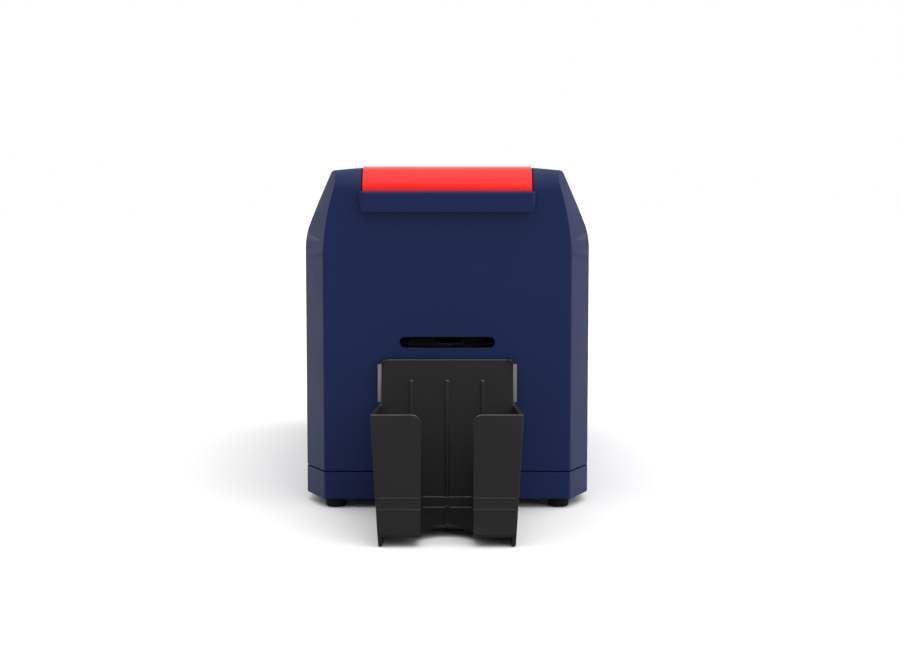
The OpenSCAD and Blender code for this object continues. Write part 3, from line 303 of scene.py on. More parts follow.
@dataclass(frozen=True)
class Finish:
    """A surface finish, built as one procedural material.

    Attributes:
        coat: The coat that it makes.
        colour: Base colour in display values.
        shift: How far the colour drifts over the piece, as a share.
        roughness: Middle of the roughness.
        spread: How far the roughness drifts either way.
        metallic: One for bare metal, zero for the rest.
        grain: Size of the moulded or ground grain, in millimetres.
        depth: Height of that grain, in millimetres.
        lay: Direction in which the grain is drawn out.
        coating: Strength of the clear top layer.
        wear_and_sheen: Extra brightness on convex edges, as a share: worn plastic and a painted
            highlight.
        gloss: Level of the plain reflection, half being that of clear plastic.
        rim: The painted highlight on its rims, or none.
    """

    coat: Coat
    colour: tuple[int, int, int]
    shift: float = 0.08
    roughness: float = 0.45
    spread: float = 0.05
    metallic: float = 0.0
    grain: float = 0.45
    depth: float = 0.012
    lay: Axis = Axis.NONE
    coating: float = 0.0
    wear_and_sheen: float = 0.0
    gloss: float = 0.5
    rim: PaintedRimHighlight | None = None

    # The same in every finish: sizes of the drift and smear in millimetres, of the flecks as a
    # share of the grain, and the parts of noise and pointiness that are used
    CLOUD = 55
    SMEAR = 22
    FLECK = 1.7
    FLECK_SHARE = 0.35
    NOISE = (0.3, 0.7)
    EDGES = (0.53, 0.62)
    # Gain and lift of the lightened edges: partly worn plastic, partly a painted highlight
    WORN_SHEEN_GAIN = 2.2
    WORN_SHEEN_LIFT = 0.03
    COATING_ROUGHNESS = 0.12
    SMOOTHEST = 0.04
    BUMP = 0.6

    def build(self) -> bpy.types.Material:
        """Make the material.

        Returns:
            The new material, named after its coat.
        """
        made = bpy.data.materials.new(self.coat.value)
        made.use_nodes = True
        graph = Graph(made.node_tree)
        shader = graph.tree.nodes["Principled BSDF"]
        place = graph.add("TexCoord").outputs["Object"]
        drawn = graph.add("Mapping", Vector=place, Scale=self.lay.value).outputs[0]
        for name, value in (
            ("Metallic", self.metallic), ("Specular IOR Level", self.gloss),
            ("Coat Weight", self.coating), ("Coat Roughness", self.COATING_ROUGHNESS),
            ("Base Color", self._paint(graph, place)), ("Roughness", self._rough(graph, drawn)),
            ("Normal", self._bump(graph, drawn)),
        ):
            graph.feed(shader.inputs[name], value)
        return made

    def _paint(self, graph: Graph, place: Socket) -> Socket:
        """Drift the base colour softly, lighten worn edges and paint highlights on edges and rims.

        Args:
            graph: The material's nodes.
            place: Output that gives the place.

        Returns:
            The colour.
        """
        cloud = graph.noise(place, self.CLOUD, 3)
        flecks = graph.noise(place, self.grain * self.FLECK, 1)
        blend = graph.add("Mix", Factor=self.FLECK_SHARE, A=cloud, B=flecks)
        shades = [self._scaled(side) for side in (1 - self.shift, 1 + self.shift)]
        colour = graph.ramp(blend.outputs[0], list(zip(self.NOISE, shades)))
        # Lighten convex edges: partly worn plastic, partly a painted highlight where edges catch
        # light
        if self.wear_and_sheen:
            edge = graph.add("NewGeometry").outputs["Pointiness"]
            reach = graph.span(edge, self.EDGES, (0, self.wear_and_sheen))
            colour = graph.tint(reach, colour, self._scaled(self.WORN_SHEEN_GAIN, self.WORN_SHEEN_LIFT))
        # Painted highlight on the rims, where light from above would fall
        return self.rim.lay(graph, place, colour) if self.rim else colour

    def _scaled(self, gain: float, lift: float = 0.0) -> Colour:
        """Give the base colour times gain, raised by lift and held below one."""
        return (*(min(1.0, part * gain + lift) for part in linear(self.colour)), 1.0)

    def _rough(self, graph: Graph, drawn: Socket) -> Socket:
        """Smear the roughness over a place that is drawn out along the lay."""
        limits = max(self.SMOOTHEST, self.roughness - self.spread), self.roughness + self.spread
        return graph.span(graph.noise(drawn, self.SMEAR, 2), self.NOISE, limits)

    def _bump(self, graph: Graph, drawn: Socket) -> Socket:
        """Raise the grain over a place that is drawn out along the lay."""
        grain = graph.noise(drawn, self.grain, 2)
        return graph.add("Bump", Strength=self.BUMP, Distance=self.depth * MM,
                         Height=grain).outputs["Normal"]


FINISHES: tuple[Finish, ...] = (
    Finish(Coat.NAVY, (13, 29, 69), 0.025, 0.42, 0.025, grain=0.5, depth=0.01, wear_and_sheen=0.12,
           gloss=0.14),
    Finish(Coat.RED, (246, 18, 20), 0.015, 0.3, 0.015, grain=0.6, depth=0.002, gloss=0.25),
    # Black's strong edge lightening is mostly a painted highlight on its rounded edges
    Finish(Coat.BLACK, (23, 23, 23), 0.04, 0.4, 0.04, depth=0.01, wear_and_sheen=0.7, gloss=0.13),
    # Copy of black plastic for the card bin, with a painted highlight on its rims
    Finish(Coat.BIN, (23, 23, 23), 0.04, 0.4, 0.04, depth=0.01, wear_and_sheen=0.7, gloss=0.13,
           rim=PaintedRimHighlight(0.23)),
    Finish(Coat.GREY, (92, 94, 97), 0.06),
    Finish(Coat.FOOT, (13, 13, 14), 0.1, 0.75, 0.08, grain=0.7, depth=0.03, gloss=0.15),
    Finish(Coat.ROLLER, (62, 63, 66), 0.08, 0.7, 0.06, grain=0.3, depth=0.02, lay=Axis.ACROSS),
    Finish(Coat.ACETAL, (228, 227, 218), 0.03, 0.38, 0.04, grain=0.9, depth=0.004),
    Finish(Coat.ZINC, (176, 180, 186), 0.1, 0.36, 0.08, 1.0, grain=1.6, depth=0.004),
    Finish(Coat.STEEL, (190, 192, 196), 0.06, 0.28, 0.07, 1.0, grain=0.25, depth=0.004,
           lay=Axis.ACROSS),
    Finish(Coat.LACQUER, (44, 45, 48), 0.08, 0.34, 0.08, 0.3, grain=0.35, depth=0.01),
    Finish(Coat.ALUMINIUM, (196, 198, 202), 0.05, 0.4, 0.06, 1.0, grain=0.5, depth=0.01,
           lay=Axis.ALONG),
    Finish(Coat.FILM, (54, 58, 130), 0.12, 0.16, 0.04, 0.15, grain=0.8, depth=0.002,
           lay=Axis.ACROSS, coating=0.4),
    Finish(Coat.BOARD, (24, 96, 60), 0.12, 0.32, 0.06, grain=1.2, depth=0.01),
    Finish(Coat.STRIP, (114, 115, 117), 0.08, 0.5, 0.06, 0.5, grain=0.4, depth=0.006, gloss=0.2),
    Finish(Coat.LINER, (4, 4, 4), 0.2, 0.8, 0.08, grain=0.6, depth=0.02, gloss=0.05),
    Finish(Coat.GOLD, (226, 176, 84), 0.05, 0.24, 0.05, 1.0, grain=0.3, depth=0.003),
    Finish(Coat.PACKAGE, (26, 27, 28), 0.1, 0.5, 0.06, grain=0.25, gloss=0.3),
    Finish(Coat.CERAMIC, (214, 206, 190), 0.04, 0.2, 0.04, grain=0.5, depth=0.003, coating=0.5),
)


# The material of each coat, filled before the first piece is dressed
CLOTH: dict[Coat, bpy.types.Material] = {}


def body_of(node: str) -> str:
    """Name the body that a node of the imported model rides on."""
    return frame["nodes"][node]["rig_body"]


def done() -> None:
    """Leave edit mode."""
    bpy.ops.object.mode_set(mode="OBJECT")


def clear() -> None:
    """Leave nothing selected and no piece in edit mode."""
    if bpy.context.object and bpy.context.object.mode != "OBJECT":
        done()
    bpy.ops.object.select_all(action="DESELECT")


def take(piece: Piece) -> None:
    """Make one piece the only selected and active one.

    Args:
        piece: The piece.
    """
    clear()
    piece.select_set(True)
    bpy.context.view_layer.objects.active = piece


def apply(piece: Piece) -> None:
    """Apply every modifier that the piece carries, in order.

    Args:
        piece: The piece.
    """
    take(piece)
    for modifier in list(piece.modifiers):
        bpy.ops.object.modifier_apply(modifier=modifier.name)


def settle(piece: Piece) -> None:
    """Put the piece's place, turn and size into its mesh."""
    take(piece)
    bpy.ops.object.transform_apply(location=True, rotation=True, scale=True)


def smooth(piece: Piece) -> None:
    """Shade the piece smooth except across its sharp edges."""
    take(piece)
    bpy.ops.object.shade_smooth_by_angle(angle=math.radians(SMOOTH_DEG))


def repeat(piece: Piece, count: int, step: Triple) -> None:
    """Repeat the piece in a row.

    Args:
        piece: The piece to repeat.
        count: Number of copies, itself among them.
        step: Way from one to the next, in millimetres.
    """
    row = piece.modifiers.new("row", "ARRAY")
    row.count = count
    row.use_relative_offset = False
    row.use_constant_offset = True
    row.constant_offset_displace = Vector(step) * MM
    apply(piece)


def edit(piece: Piece, chosen: Callable[[bpy.types.MeshPolygon], bool]) -> None:
    """Open the piece in edit mode with some of its faces selected.

    Args:
        piece: The piece to edit.
        chosen: Says of each face whether it is selected.
    """
    take(piece)
    bpy.ops.object.mode_set(mode="EDIT")
    bpy.ops.mesh.select_mode(type="FACE")
    bpy.ops.mesh.select_all(action="DESELECT")
    done()
    for face in piece.data.polygons:
        face.select = chosen(face)
    bpy.ops.object.mode_set(mode="EDIT")


def block(name: str, size: Triple, at: Triple, radius: float = 0.0, steps: int = 2) -> Piece:
    """Model a block with rounded edges.

    Args:
        name: Name of the piece.
        size: Its size in millimetres.
        at: Its middle in millimetres.
        radius: Radius on its edges, in millimetres.
        steps: Number of flats in the radius.

    Returns:
        The piece, with its size in its mesh.
    """
    clear()
    bpy.ops.mesh.primitive_cube_add(size=MM, location=Vector(at) * MM)
    piece = bpy.context.object
    piece.name = name
    piece.scale = size
    settle(piece)
    if radius:
        edit(piece, lambda face: True)
        bpy.ops.mesh.bevel(offset=radius * MM, segments=steps, affect="EDGES")
        done()
    return piece


def rod(name: str, sides: int, radius: float, height: float) -> Piece:
    """Model a rod that stands on the origin.

    Args:
        name: Name of the piece.
        sides: Number of flats around it.
        radius: Its radius, in millimetres.
        height: Its height, in millimetres.

    Returns:
        The piece, with its place in its mesh.
    """
    clear()
    bpy.ops.mesh.primitive_cylinder_add(
        vertices=sides, radius=radius * MM, depth=height * MM, location=(0, 0, height / 2 * MM))
    piece = bpy.context.object
    piece.name = name
    settle(piece)
    return piece


def carve(piece: Piece, cutter: Piece) -> None:
    """Cut one piece out of another and throw the cutter away.

    Args:
        piece: The piece to cut into.
        cutter: The piece to cut out.
    """
    cut = piece.modifiers.new("cut", "BOOLEAN")
    cut.operation = "DIFFERENCE"
    cut.solver = "EXACT"
    cut.object = cutter
    apply(piece)
    bpy.data.objects.remove(cutter)


def cover(piece: Piece, coat: Coat) -> None:
    """Give the piece the material of a coat and no other."""
    piece.data.materials.clear()
    piece.data.materials.append(CLOTH[coat])


def dress(piece: Piece, coat: Coat, body: str) -> None:
    """Give the piece its finish and the body that carries it.

    Args:
        piece: The piece to dress.
        coat: Its finish.
        body: The body that it rides on.
    """
    cover(piece, coat)
    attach(piece, body)


@dataclass
class Moulding:
    """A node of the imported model, copied and given the small radii of a real moulding.

    Attributes:
        node: The node that the piece stands for.
        coat: Its finish.
        radius: Radius on its edges, in millimetres.
        steps: Number of flats that make up the radius.
        crease: Sharpest edge, in degrees, that stays without a radius.
        weld: Corners closer than this are one corner, in millimetres.
    """

    node: str
    coat: Coat
    radius: float = 0.3
    steps: int = 2
    crease: float = 30
    weld: float = 0.004

    def make(self) -> Piece:
        """Copy the node's mesh, join its loose triangles and round its edges.

        Returns:
            The finished piece.
        """
        clear()
        source = frame["nodes"][self.node]
        piece = bpy.data.objects.new(self.node + "_piece", source.data.copy())
        bpy.context.scene.collection.objects.link(piece)
        take(piece)
        bpy.ops.object.mode_set(mode="EDIT")
        bpy.ops.mesh.select_all(action="SELECT")
        bpy.ops.mesh.remove_doubles(threshold=self.weld * MM)
        done()
        if self.radius:
            rounding = piece.modifiers.new("radius", "BEVEL")
            rounding.width = self.radius * MM
            rounding.segments = self.steps
            rounding.limit_method = "ANGLE"
            rounding.angle_limit = math.radians(self.crease)
            rounding.use_clamp_overlap = False
            rounding.loop_slide = False
            apply(piece)
        smooth(piece)
        even = piece.modifiers.new("even", "WEIGHTED_NORMAL")
        even.keep_sharp = True
        apply(piece)
        dress(piece, self.coat, body_of(self.node))
        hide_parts(self.node)
        return piece


@dataclass
class Group:
    """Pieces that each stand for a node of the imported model.

    Attributes:
        rows: Nodes that are made alike, with spaces between them, and then what a moulding
            takes: finish, radius, steps and crease.
    """

    rows: tuple[tuple, ...] = ()

    def build(self) -> None:
        """Make every piece."""
        for nodes, *look in self.rows:
            for node in nodes.split():
                piece = Moulding(node, *look).make()
                faces = len(piece.data.polygons)
                LOG.info("%s: %s, %d faces", type(self).__name__, piece.name, faces)


@dataclass
class Casing(Group):
    """The housing, base, lid, feet, rear door and card bin that show from outside."""

    rows: tuple[tuple, ...] = (
        ("upper_housing", Coat.NAVY, 0.35),
        ("base_tray", Coat.NAVY, 0.3, 2, 45),
        ("lid_shell", Coat.NAVY, 0.25),
        ("lid_panel", Coat.RED, 0.3),
        ("feeder_door", Coat.NAVY, 0.3),
        ("slot_bezel", Coat.LINER, 0.2),
        # The card bin in black plastic with painted rim highlights
        ("hopper_bin", Coat.BIN, 0.25),
        ("hopper_strips", Coat.STRIP, 0.1),
        ("foot_front_left foot_front_right foot_rear_left foot_rear_right", Coat.FOOT, 0.2),
    )


@dataclass
class Works(Group):
    """The inner pieces, seen when the lid is up and through the ports and vents."""

    rows: tuple[tuple, ...] = (
        ("rear_panel", Coat.ZINC, 0.15),
        ("power_inlet", Coat.BLACK, 0.25),
        ("data_ports", Coat.STEEL, 0.15),
        ("switch_housing power_rocker", Coat.BLACK, 0.25),
        ("fan_frame fan_rotor", Coat.BLACK, 0.1),
        ("side_plate_left side_plate_right", Coat.ZINC, 0.12, 2, 40),
        ("cross_bars", Coat.STEEL, 0.2, 2, 40),
        ("hinge_pins", Coat.STEEL, 0.3, 2, 40),
        ("roller_bushes", Coat.ACETAL, 0.12, 2, 40),
        ("drive_motor", Coat.LACQUER, 0.3),
        ("ribbon_motor", Coat.STEEL, 0.5, 3, 40),
        ("main_board", Coat.BOARD, 0.1, 1),
        ("card_magazine", Coat.BLACK, 0.3),
        ("card_gate", Coat.GREY, 0.2),
        ("card_guides", Coat.BLACK, 0.2),
        ("card_weight", Coat.GREY, 0.4),
        ("ribbon_cassette", Coat.GREY, 0.15, 2, 40),
        ("take_up_spool supply_spool", Coat.BLACK, 0.12, 2, 40),
        ("take_up_roll supply_roll", Coat.FILM, 0.08, 1, 40),
        ("ribbon_film", Coat.FILM, 0.0),
        ("head_bracket", Coat.ZINC, 0.15),
        ("print_head", Coat.ALUMINIUM, 0.15),
        ("head_springs", Coat.STEEL, 0.1, 1),
        ("exit_shaft platen_shaft transport_shaft feed_shaft", Coat.STEEL, 0.3, 2, 40),
        ("exit_rubber platen_rubber transport_rubber feed_rubber", Coat.ROLLER, 0.3, 2, 40),
        ("exit_pinch_roller cleaning_roller", Coat.ACETAL, 0.2, 2, 40),
        ("exit_gear platen_gear transport_gear feed_gear idler_front idler_middle"
         " idler_rear ribbon_gear", Coat.ACETAL, 0.08, 1, 50),
        ("motor_pinion ribbon_pinion", Coat.STEEL, 0.06, 1, 50),
    )


@dataclass
class Pattern:
    """A small part modelled once and copied to every place where it sits.

    Attributes:
        name: Name of the copies.
        coat: Their finish.
        model: The part that is copied.
    """

    name: str
    coat: Coat
    model: Piece

    def place(self, at: Vector, facing: Facing, body: str, turn: float = 0.0) -> None:
        """Copy the part to a place.

        Args:
            at: Where the part's foot sits, in metres.
            facing: Way that its top looks.
            body: The body that carries it.
            turn: Turn about its own axis, in degrees.
        """
        clear()
        copy = bpy.data.objects.new(self.name, self.model.data.copy())
        bpy.context.scene.collection.objects.link(copy)
        aim = Vector(facing.value).to_track_quat("Z", "Y").to_matrix().to_4x4()
        spin = Matrix.Rotation(math.radians(turn), 4, "Z")
        copy.matrix_world = Matrix.Translation(at) @ aim @ spin
        settle(copy)
        smooth(copy)
        dress(copy, self.coat, body)

    def discard(self) -> None:
        """Throw the pattern itself away once its copies are placed."""
        bpy.data.objects.remove(self.model)


@dataclass(frozen=True)
class PanScrew:
    """Round-headed screw with a cross recess.

    Attributes:
        radius: Radius of the head, in millimetres.
        height: Height of the head.
        recess: Width of the cross's arms.
        deep: Depth of the cross.
        dome: Radius on the head's rim, as a share of its height.
        arm: Length of the cross, as a share of the head's radius.
        taper: Share of that length at the cross's foot.
    """

    radius: float = 2.6
    height: float = 1.6
    recess: float = 0.7
    deep: float = 0.9
    dome: float = 0.62
    arm: float = 1.15
    taper: float = 0.62

    def model(self) -> Piece:
        """Turn the head, dome its rim and cut the cross.

        Returns:
            The screw, its seat at the origin and its top up.
        """
        head = rod("pan_screw", 32, self.radius, self.height)
        edit(head, lambda face: face.normal.z > TOP_FACE)
        bpy.ops.mesh.bevel(
            offset=self.height * self.dome * MM, segments=5, profile=0.6, affect="EDGES")
        done()
        long = self.radius * self.arm
        for size in ((long, self.recess), (self.recess, long)):
            arm = block("arm", (*size, self.deep * 2), (0, 0, self.height))
            edit(arm, lambda face: face.normal.z < -TOP_FACE)
            bpy.ops.transform.resize(
                value=(self.taper, self.taper, 1), center_override=(0, 0, 0))
            done()
            carve(head, arm)
        return head


@dataclass(frozen=True)
class ShaftClip:
    """Spring clip in the groove at a shaft's end.

    Attributes:
        radius: Outer radius, in millimetres.
        bore: Radius of its bore.
        thick: Thickness of the sheet.
        mouth: Width of its open side.
        ear: Radius of the notches beside the bore, as a share of the bore's.
        aside: How far from the axis they lie, across and down, as shares of it too.
        edge: Size of its broken edges.
    """

    radius: float = 4.4
    bore: float = 2.3
    thick: float = 0.7
    mouth: float = 3.4
    ear: float = 0.42
    aside: Pair = (1.1, 0.35)
    edge: float = 0.1

    def model(self) -> Piece:
        """Cut the bore and the mouth out of a disc and break its edges.

        Returns:
            The clip, its seat at the origin and its top up.
        """
        disc = rod("shaft_clip", 40, self.radius, self.thick)
        ear = self.bore * self.ear
        for radius, across in ((self.bore, 0.0), (ear, self.bore), (ear, -self.bore)):
            bpy.ops.mesh.primitive_cylinder_add(
                vertices=28, radius=radius * MM, depth=4 * self.thick * MM,
                location=(across * self.aside[0] * MM, -abs(across) * self.aside[1] * MM, 0))
            carve(disc, bpy.context.object)
        carve(disc, block(
            "mouth", (self.mouth, self.radius, 4 * self.thick), (0, self.radius * 0.75, 0)))
        edges = disc.modifiers.new("edges", "BEVEL")
        edges.width = self.edge * MM
        edges.segments = 1
        edges.angle_limit = math.radians(40)
        apply(disc)
        return disc


@dataclass(frozen=True)
class ChipLegs:
    """Row of bent legs along one side of a board's chip.

    Attributes:
        count: Number of legs.
        pitch: Distance between legs, in millimetres.
        reach: How far they stand out.
        rise: Height at which they leave the chip.
        leg: Length inside the bends, width and thickness of a leg.
        bends: Each bend's way out as a share of the reach, and down as a share of the rise.
    """

    count: int = 11
    pitch: float = 1.4
    reach: float = 1.8
    rise: float = 1.2
    leg: Triple = (0.4, 0.5, 0.18)
    bends: tuple[Pair, ...] = ((0.35, 0.1), (0.2, 0.8), (0.35, 0.02))

    def model(self) -> Piece:
        """Bend one leg by extruding its end down and out, then repeat it along the row.

        Returns:
            The row, its middle at the origin, standing out towards +X.
        """
        leg = block("chip_legs", self.leg, (0.1, 0, self.rise))
        for out, down in self.bends:
            edge = max(vertex.co.x for vertex in leg.data.vertices)
            edit(leg, lambda face, edge=edge: abs(face.center.x - edge) < 0.02 * MM
                       and face.normal.x > 0.3)
            bpy.ops.mesh.extrude_region_move(TRANSFORM_OT_translate={
                "value": (self.reach * out * MM, 0, -self.rise * down * MM)})
            done()
        repeat(leg, self.count, (0, self.pitch, 0))
        leg.location.y = -self.pitch * (self.count - 1) / 2 * MM
        settle(leg)
        return leg


def spot(node: str, across: float, along: float, up: float) -> Vector:
    """Find a place in a node's box.

    Args:
        node: The node.
        across: Share of its width from the left.
        along: Share of its length from the front.
        up: Share of its height.

    Returns:
        The place, in metres.
    """
    low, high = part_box(node)
    shares = (across, along, up)
    return Vector(low[i] + (high[i] - low[i]) * share for i, share in enumerate(shares))


# Where a fastener sits: its foot, the way its top looks and the body that carries it
Site = tuple[Vector, Facing, str]


@dataclass
class Fasteners:
    """Screws and shaft clips that hold the printer together.

    Attributes:
        screw: The screw used on panels and plates.
        small: The smaller screw used on the board.
        flat: The shallow screw that holds the motor, clear of the wheels.
        clip: The clip on shaft ends.
        motor_hole: Distance of the motor's screws from its axis, each way.
        board_inset: Distance of the board's screws from its sides.
        panel_inset: Distance of the rear panel's screws from its sides.
        flange: Thickness of the side plates' flanges.
        flanges: The side plates, each with the share of its width where its screws sit.
        rows: Shares of a side plate's length where they sit.
        clips: Node and body of each clip, the share of the node's width where it sits, and how
            far to the right of that.
        chassis: The body that carries the fixed ones.
    """

    screw: PanScrew = PanScrew()
    small: PanScrew = PanScrew(2.1, 1.3, 0.6, 0.7)
    flat: PanScrew = PanScrew(2.6, 1.1, 0.7, 0.6)
    clip: ShaftClip = ShaftClip()
    motor_hole: float = 15.5
    board_inset: float = 6.0
    panel_inset: float = 8.0
    flange: float = 2.0
    flanges: tuple[tuple[str, float], ...] = (("side_plate_left", 0.39), ("side_plate_right", 0.52))
    rows: Triple = (0.06, 0.5, 0.94)
    clips: tuple[tuple[str, str, float, float], ...] = (
        ("exit_shaft", "exit_roller", 0.0, 1.2), ("platen_shaft", "platen", 0.0, 1.2),
        ("transport_shaft", "transport_roller", 0.0, 1.2), ("feed_shaft", "feed_roller", 0.0, 1.2),
        ("idler_front", "chassis", 1.0, 0.12), ("idler_middle", "chassis", 1.0, 0.12),
        ("idler_rear", "chassis", 1.0, 0.12),
    )
    chassis: str = "chassis"

    def build(self) -> None:
        """Place every screw and clip, each turned a little further than the one before."""
        count = 0
        for name, kind, sites, turn in (
            ("pan_screw", self.screw, self._panels(), 17),
            ("board_screw", self.small, self._board(), 31),
            ("shaft_clip", self.clip, self._shafts(), 40),
            ("motor_screw", self.flat, self._motor(), 23),
        ):
            pattern = Pattern(name, Coat.STEEL, kind.model())
            for at, facing, body in sites:
                pattern.place(at, facing, body, turn * count)
                count += 1
            pattern.discard()
        LOG.info("fasteners: %d placed", count)

    def _panels(self) -> list[Site]:
        """List the screws of the rear panel and the side plates.

        Returns:
            Their places.
        """
        low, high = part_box("rear_panel")
        inset = self.panel_inset * MM
        sites = [(Vector((x, high.y, z)), Facing.REAR, self.chassis)
                 for x in (low.x + inset, high.x - inset) for z in (low.z + inset, high.z - inset)]
        for plate, side in self.flanges:
            for share in self.rows:
                at = spot(plate, side, share, 0.0)
                at.z += self.flange * MM
                sites.append((at, Facing.UP, self.chassis))
        return sites

    def _board(self) -> list[Site]:
        """List the screws of the main board.

        Returns:
            Their places.
        """
        low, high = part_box("main_board")
        inset, top = self.board_inset * MM, low.z + BOARD_TOP * MM
        return [(Vector((x, y, top)), Facing.UP, self.chassis)
                for x in (low.x + inset, high.x - inset) for y in (low.y + inset, high.y - inset)]

    def _shafts(self) -> list[Site]:
        """List the clips on the shafts and on the idlers' pins.

        Returns:
            Their places.
        """
        sites = []
        for node, body, across, right in self.clips:
            at = spot(node, across, 0.5, 0.5)
            at.x += right * MM
            sites.append((at, Facing.RIGHT, body))
        return sites

    def _motor(self) -> list[Site]:
        """List the screws of the drive motor.

        Returns:
            Their places.
        """
        low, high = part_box("drive_motor")
        middle, hole = (low + high) / 2, self.motor_hole * MM
        return [(Vector((high.x, middle.y + across, middle.z + up)), Facing.RIGHT, self.chassis)
                for across in (-hole, hole) for up in (-hole, hole)]


@dataclass
class BoardParts:
    """Chip packages with their legs, capacitor cans and plugs on the main board.

    Attributes:
        chip: Width and height of a chip, in millimetres.
        cover: How far a cover stands over the solid under it.
        package: Share that a chip's top keeps, its edge radius, and the radius, place and lift
            of its dimple.
        can: Radius and height of a capacitor.
        cans: Number of capacitors.
        neck: Radius, height and way out of the groove round its neck.
        shoulder: Radius of its shoulder, width of its rim, and how far its top is sunk.
        plug: Width, height, side wall, end walls and depth of a plug.
        pin: Size of a pin.
        pin_up: Height of its middle.
        pitch: Distance between pins.
        legs: The row of legs along a chip's side.
        chips: Each chip's place across and along, in widths of a chip.
        plugs: Each plug's place across and along, in millimetres, and its pins.
        board: The node that carries them.
    """

    chip: Pair = (18.0, 2.4)
    cover: float = 0.15
    package: tuple[float, ...] = (0.97, 0.15, 1.2, 0.36, 0.9)
    can: Pair = (5.0, 14.0)
    cans: int = 4
    neck: Triple = (0.6, 1.8, 0.35)
    shoulder: Triple = (0.8, 0.9, 0.25)
    plug: tuple[float, ...] = (4.6, 5.6, 0.6, 1.6, 4.4)
    pin: Triple = (0.6, 0.6, 3.6)
    pin_up: float = 3.0
    pitch: float = 2.0
    legs: ChipLegs = ChipLegs()
    chips: tuple[tuple[int, int], ...] = ((-1, 2), (1, 5))
    plugs: tuple[tuple[int, int, int], ...] = (
        (-22, 14, 6), (4, 14, 8), (-24, 118, 5), (20, 136, 4))
    board: str = "main_board"

    def _package(self, at: Vector) -> Piece:
        """Model a chip's package with its sloped sides and the dimple in one corner.

        Args:
            at: Middle of its foot, in metres.

        Returns:
            The package.
        """
        top, edge, dimple, corner, lift = self.package
        wide, thick = self.chip[0] + 2 * self.cover, self.chip[1] + self.cover
        package = block("chip_package", (wide, wide, thick), (0, 0, thick / 2))
        edit(package, lambda face: face.normal.z > TOP_FACE)
        bpy.ops.transform.resize(value=(top, top, 1), center_override=(0, 0, 0))
        bpy.ops.mesh.bevel(offset=edge * MM, segments=2, affect="EDGES")
        done()
        bpy.ops.mesh.primitive_uv_sphere_add(
            segments=24, ring_count=12, radius=dimple * MM,
            location=Vector((-wide * corner, -wide * corner, thick + lift)) * MM)
        carve(package, bpy.context.object)
        package.location = at
        settle(package)
        smooth(package)
        return package

    def _can(self) -> Piece:
        """Model a capacitor's sleeve with its rolled neck and rounded shoulder.

        Returns:
            The can, standing on the origin.
        """
        groove, up, out = self.neck
        shoulder, rim, sunk = self.shoulder
        radius = self.can[0] + self.cover
        can = rod("capacitor_can", 40, radius, self.can[1] + self.cover)
        edit(can, lambda face: face.normal.z > TOP_FACE)
        bpy.ops.mesh.bevel(offset=shoulder * MM, segments=4, affect="EDGES")
        bpy.ops.mesh.inset(thickness=rim * MM)
        bpy.ops.transform.translate(value=(0, 0, -sunk * MM))
        done()
        bpy.ops.mesh.primitive_torus_add(
            major_segments=40, minor_segments=10, major_radius=(radius + out) * MM,
            minor_radius=groove * MM, location=(0, 0, up * MM))
        carve(can, bpy.context.object)
        return can

    def _plug(self, at: Vector, pins: int) -> tuple[Piece, Piece]:
        """Model an open-topped plug housing and its row of pins.

        Args:
            at: Middle of its foot, in metres.
            pins: Number of pins.

        Returns:
            The housing and the pins.
        """
        wide, high, wall, ends, deep = self.plug
        size = (self.pitch * pins + ends, wide, high)
        shell = block("wire_plug", size, (0, 0, high / 2), 0.2, 1)
        edit(shell, lambda face: face.normal.z > TOP_FACE)
        bpy.ops.mesh.inset(thickness=wall * MM)
        bpy.ops.mesh.extrude_region_move(TRANSFORM_OT_translate={"value": (0, 0, -deep * MM)})
        done()
        pin = block("plug_pins", self.pin, (0, 0, self.pin_up), 0.15, 1)
        repeat(pin, pins, (self.pitch, 0, 0))
        pin.location.x = -self.pitch * (pins - 1) / 2 * MM
        settle(pin)
        for piece in (shell, pin):
            piece.location = at
            settle(piece)
            smooth(piece)
        return shell, pin

    def build(self) -> None:
        """Fit the board."""
        body, wide = body_of(self.board), self.chip[0]
        low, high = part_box(self.board)
        middle, top = (low.x + high.x) / 2, low.z + BOARD_TOP * MM
        legs = Pattern("chip_legs", Coat.STEEL, self.legs.model())
        for side, along in self.chips:
            at = Vector((middle + side * wide * MM, low.y + along * wide * MM, top))
            dress(self._package(at), Coat.PACKAGE, body)
            for turn in (0, 90, 180, 270):
                out = Vector((math.cos(math.radians(turn)), math.sin(math.radians(turn)), 0))
                legs.place(at + out * (wide / 2) * MM, Facing.UP, body, turn)
        legs.discard()
        cans = Pattern("capacitor_can", Coat.PACKAGE, self._can())
        for index in range(self.cans):
            across = index * 3 * self.can[0] - wide
            at = Vector((middle + across * MM, high.y - 2 * wide * MM, top))
            cans.place(at, Facing.UP, body)
        cans.discard()
        for across, along, pins in self.plugs:
            shell, pin = self._plug(Vector((middle + across * MM, low.y + along * MM, top)), pins)
            dress(shell, Coat.ACETAL, body)
            dress(pin, Coat.GOLD, body)
        LOG.info("board: packages, legs, cans and plugs")


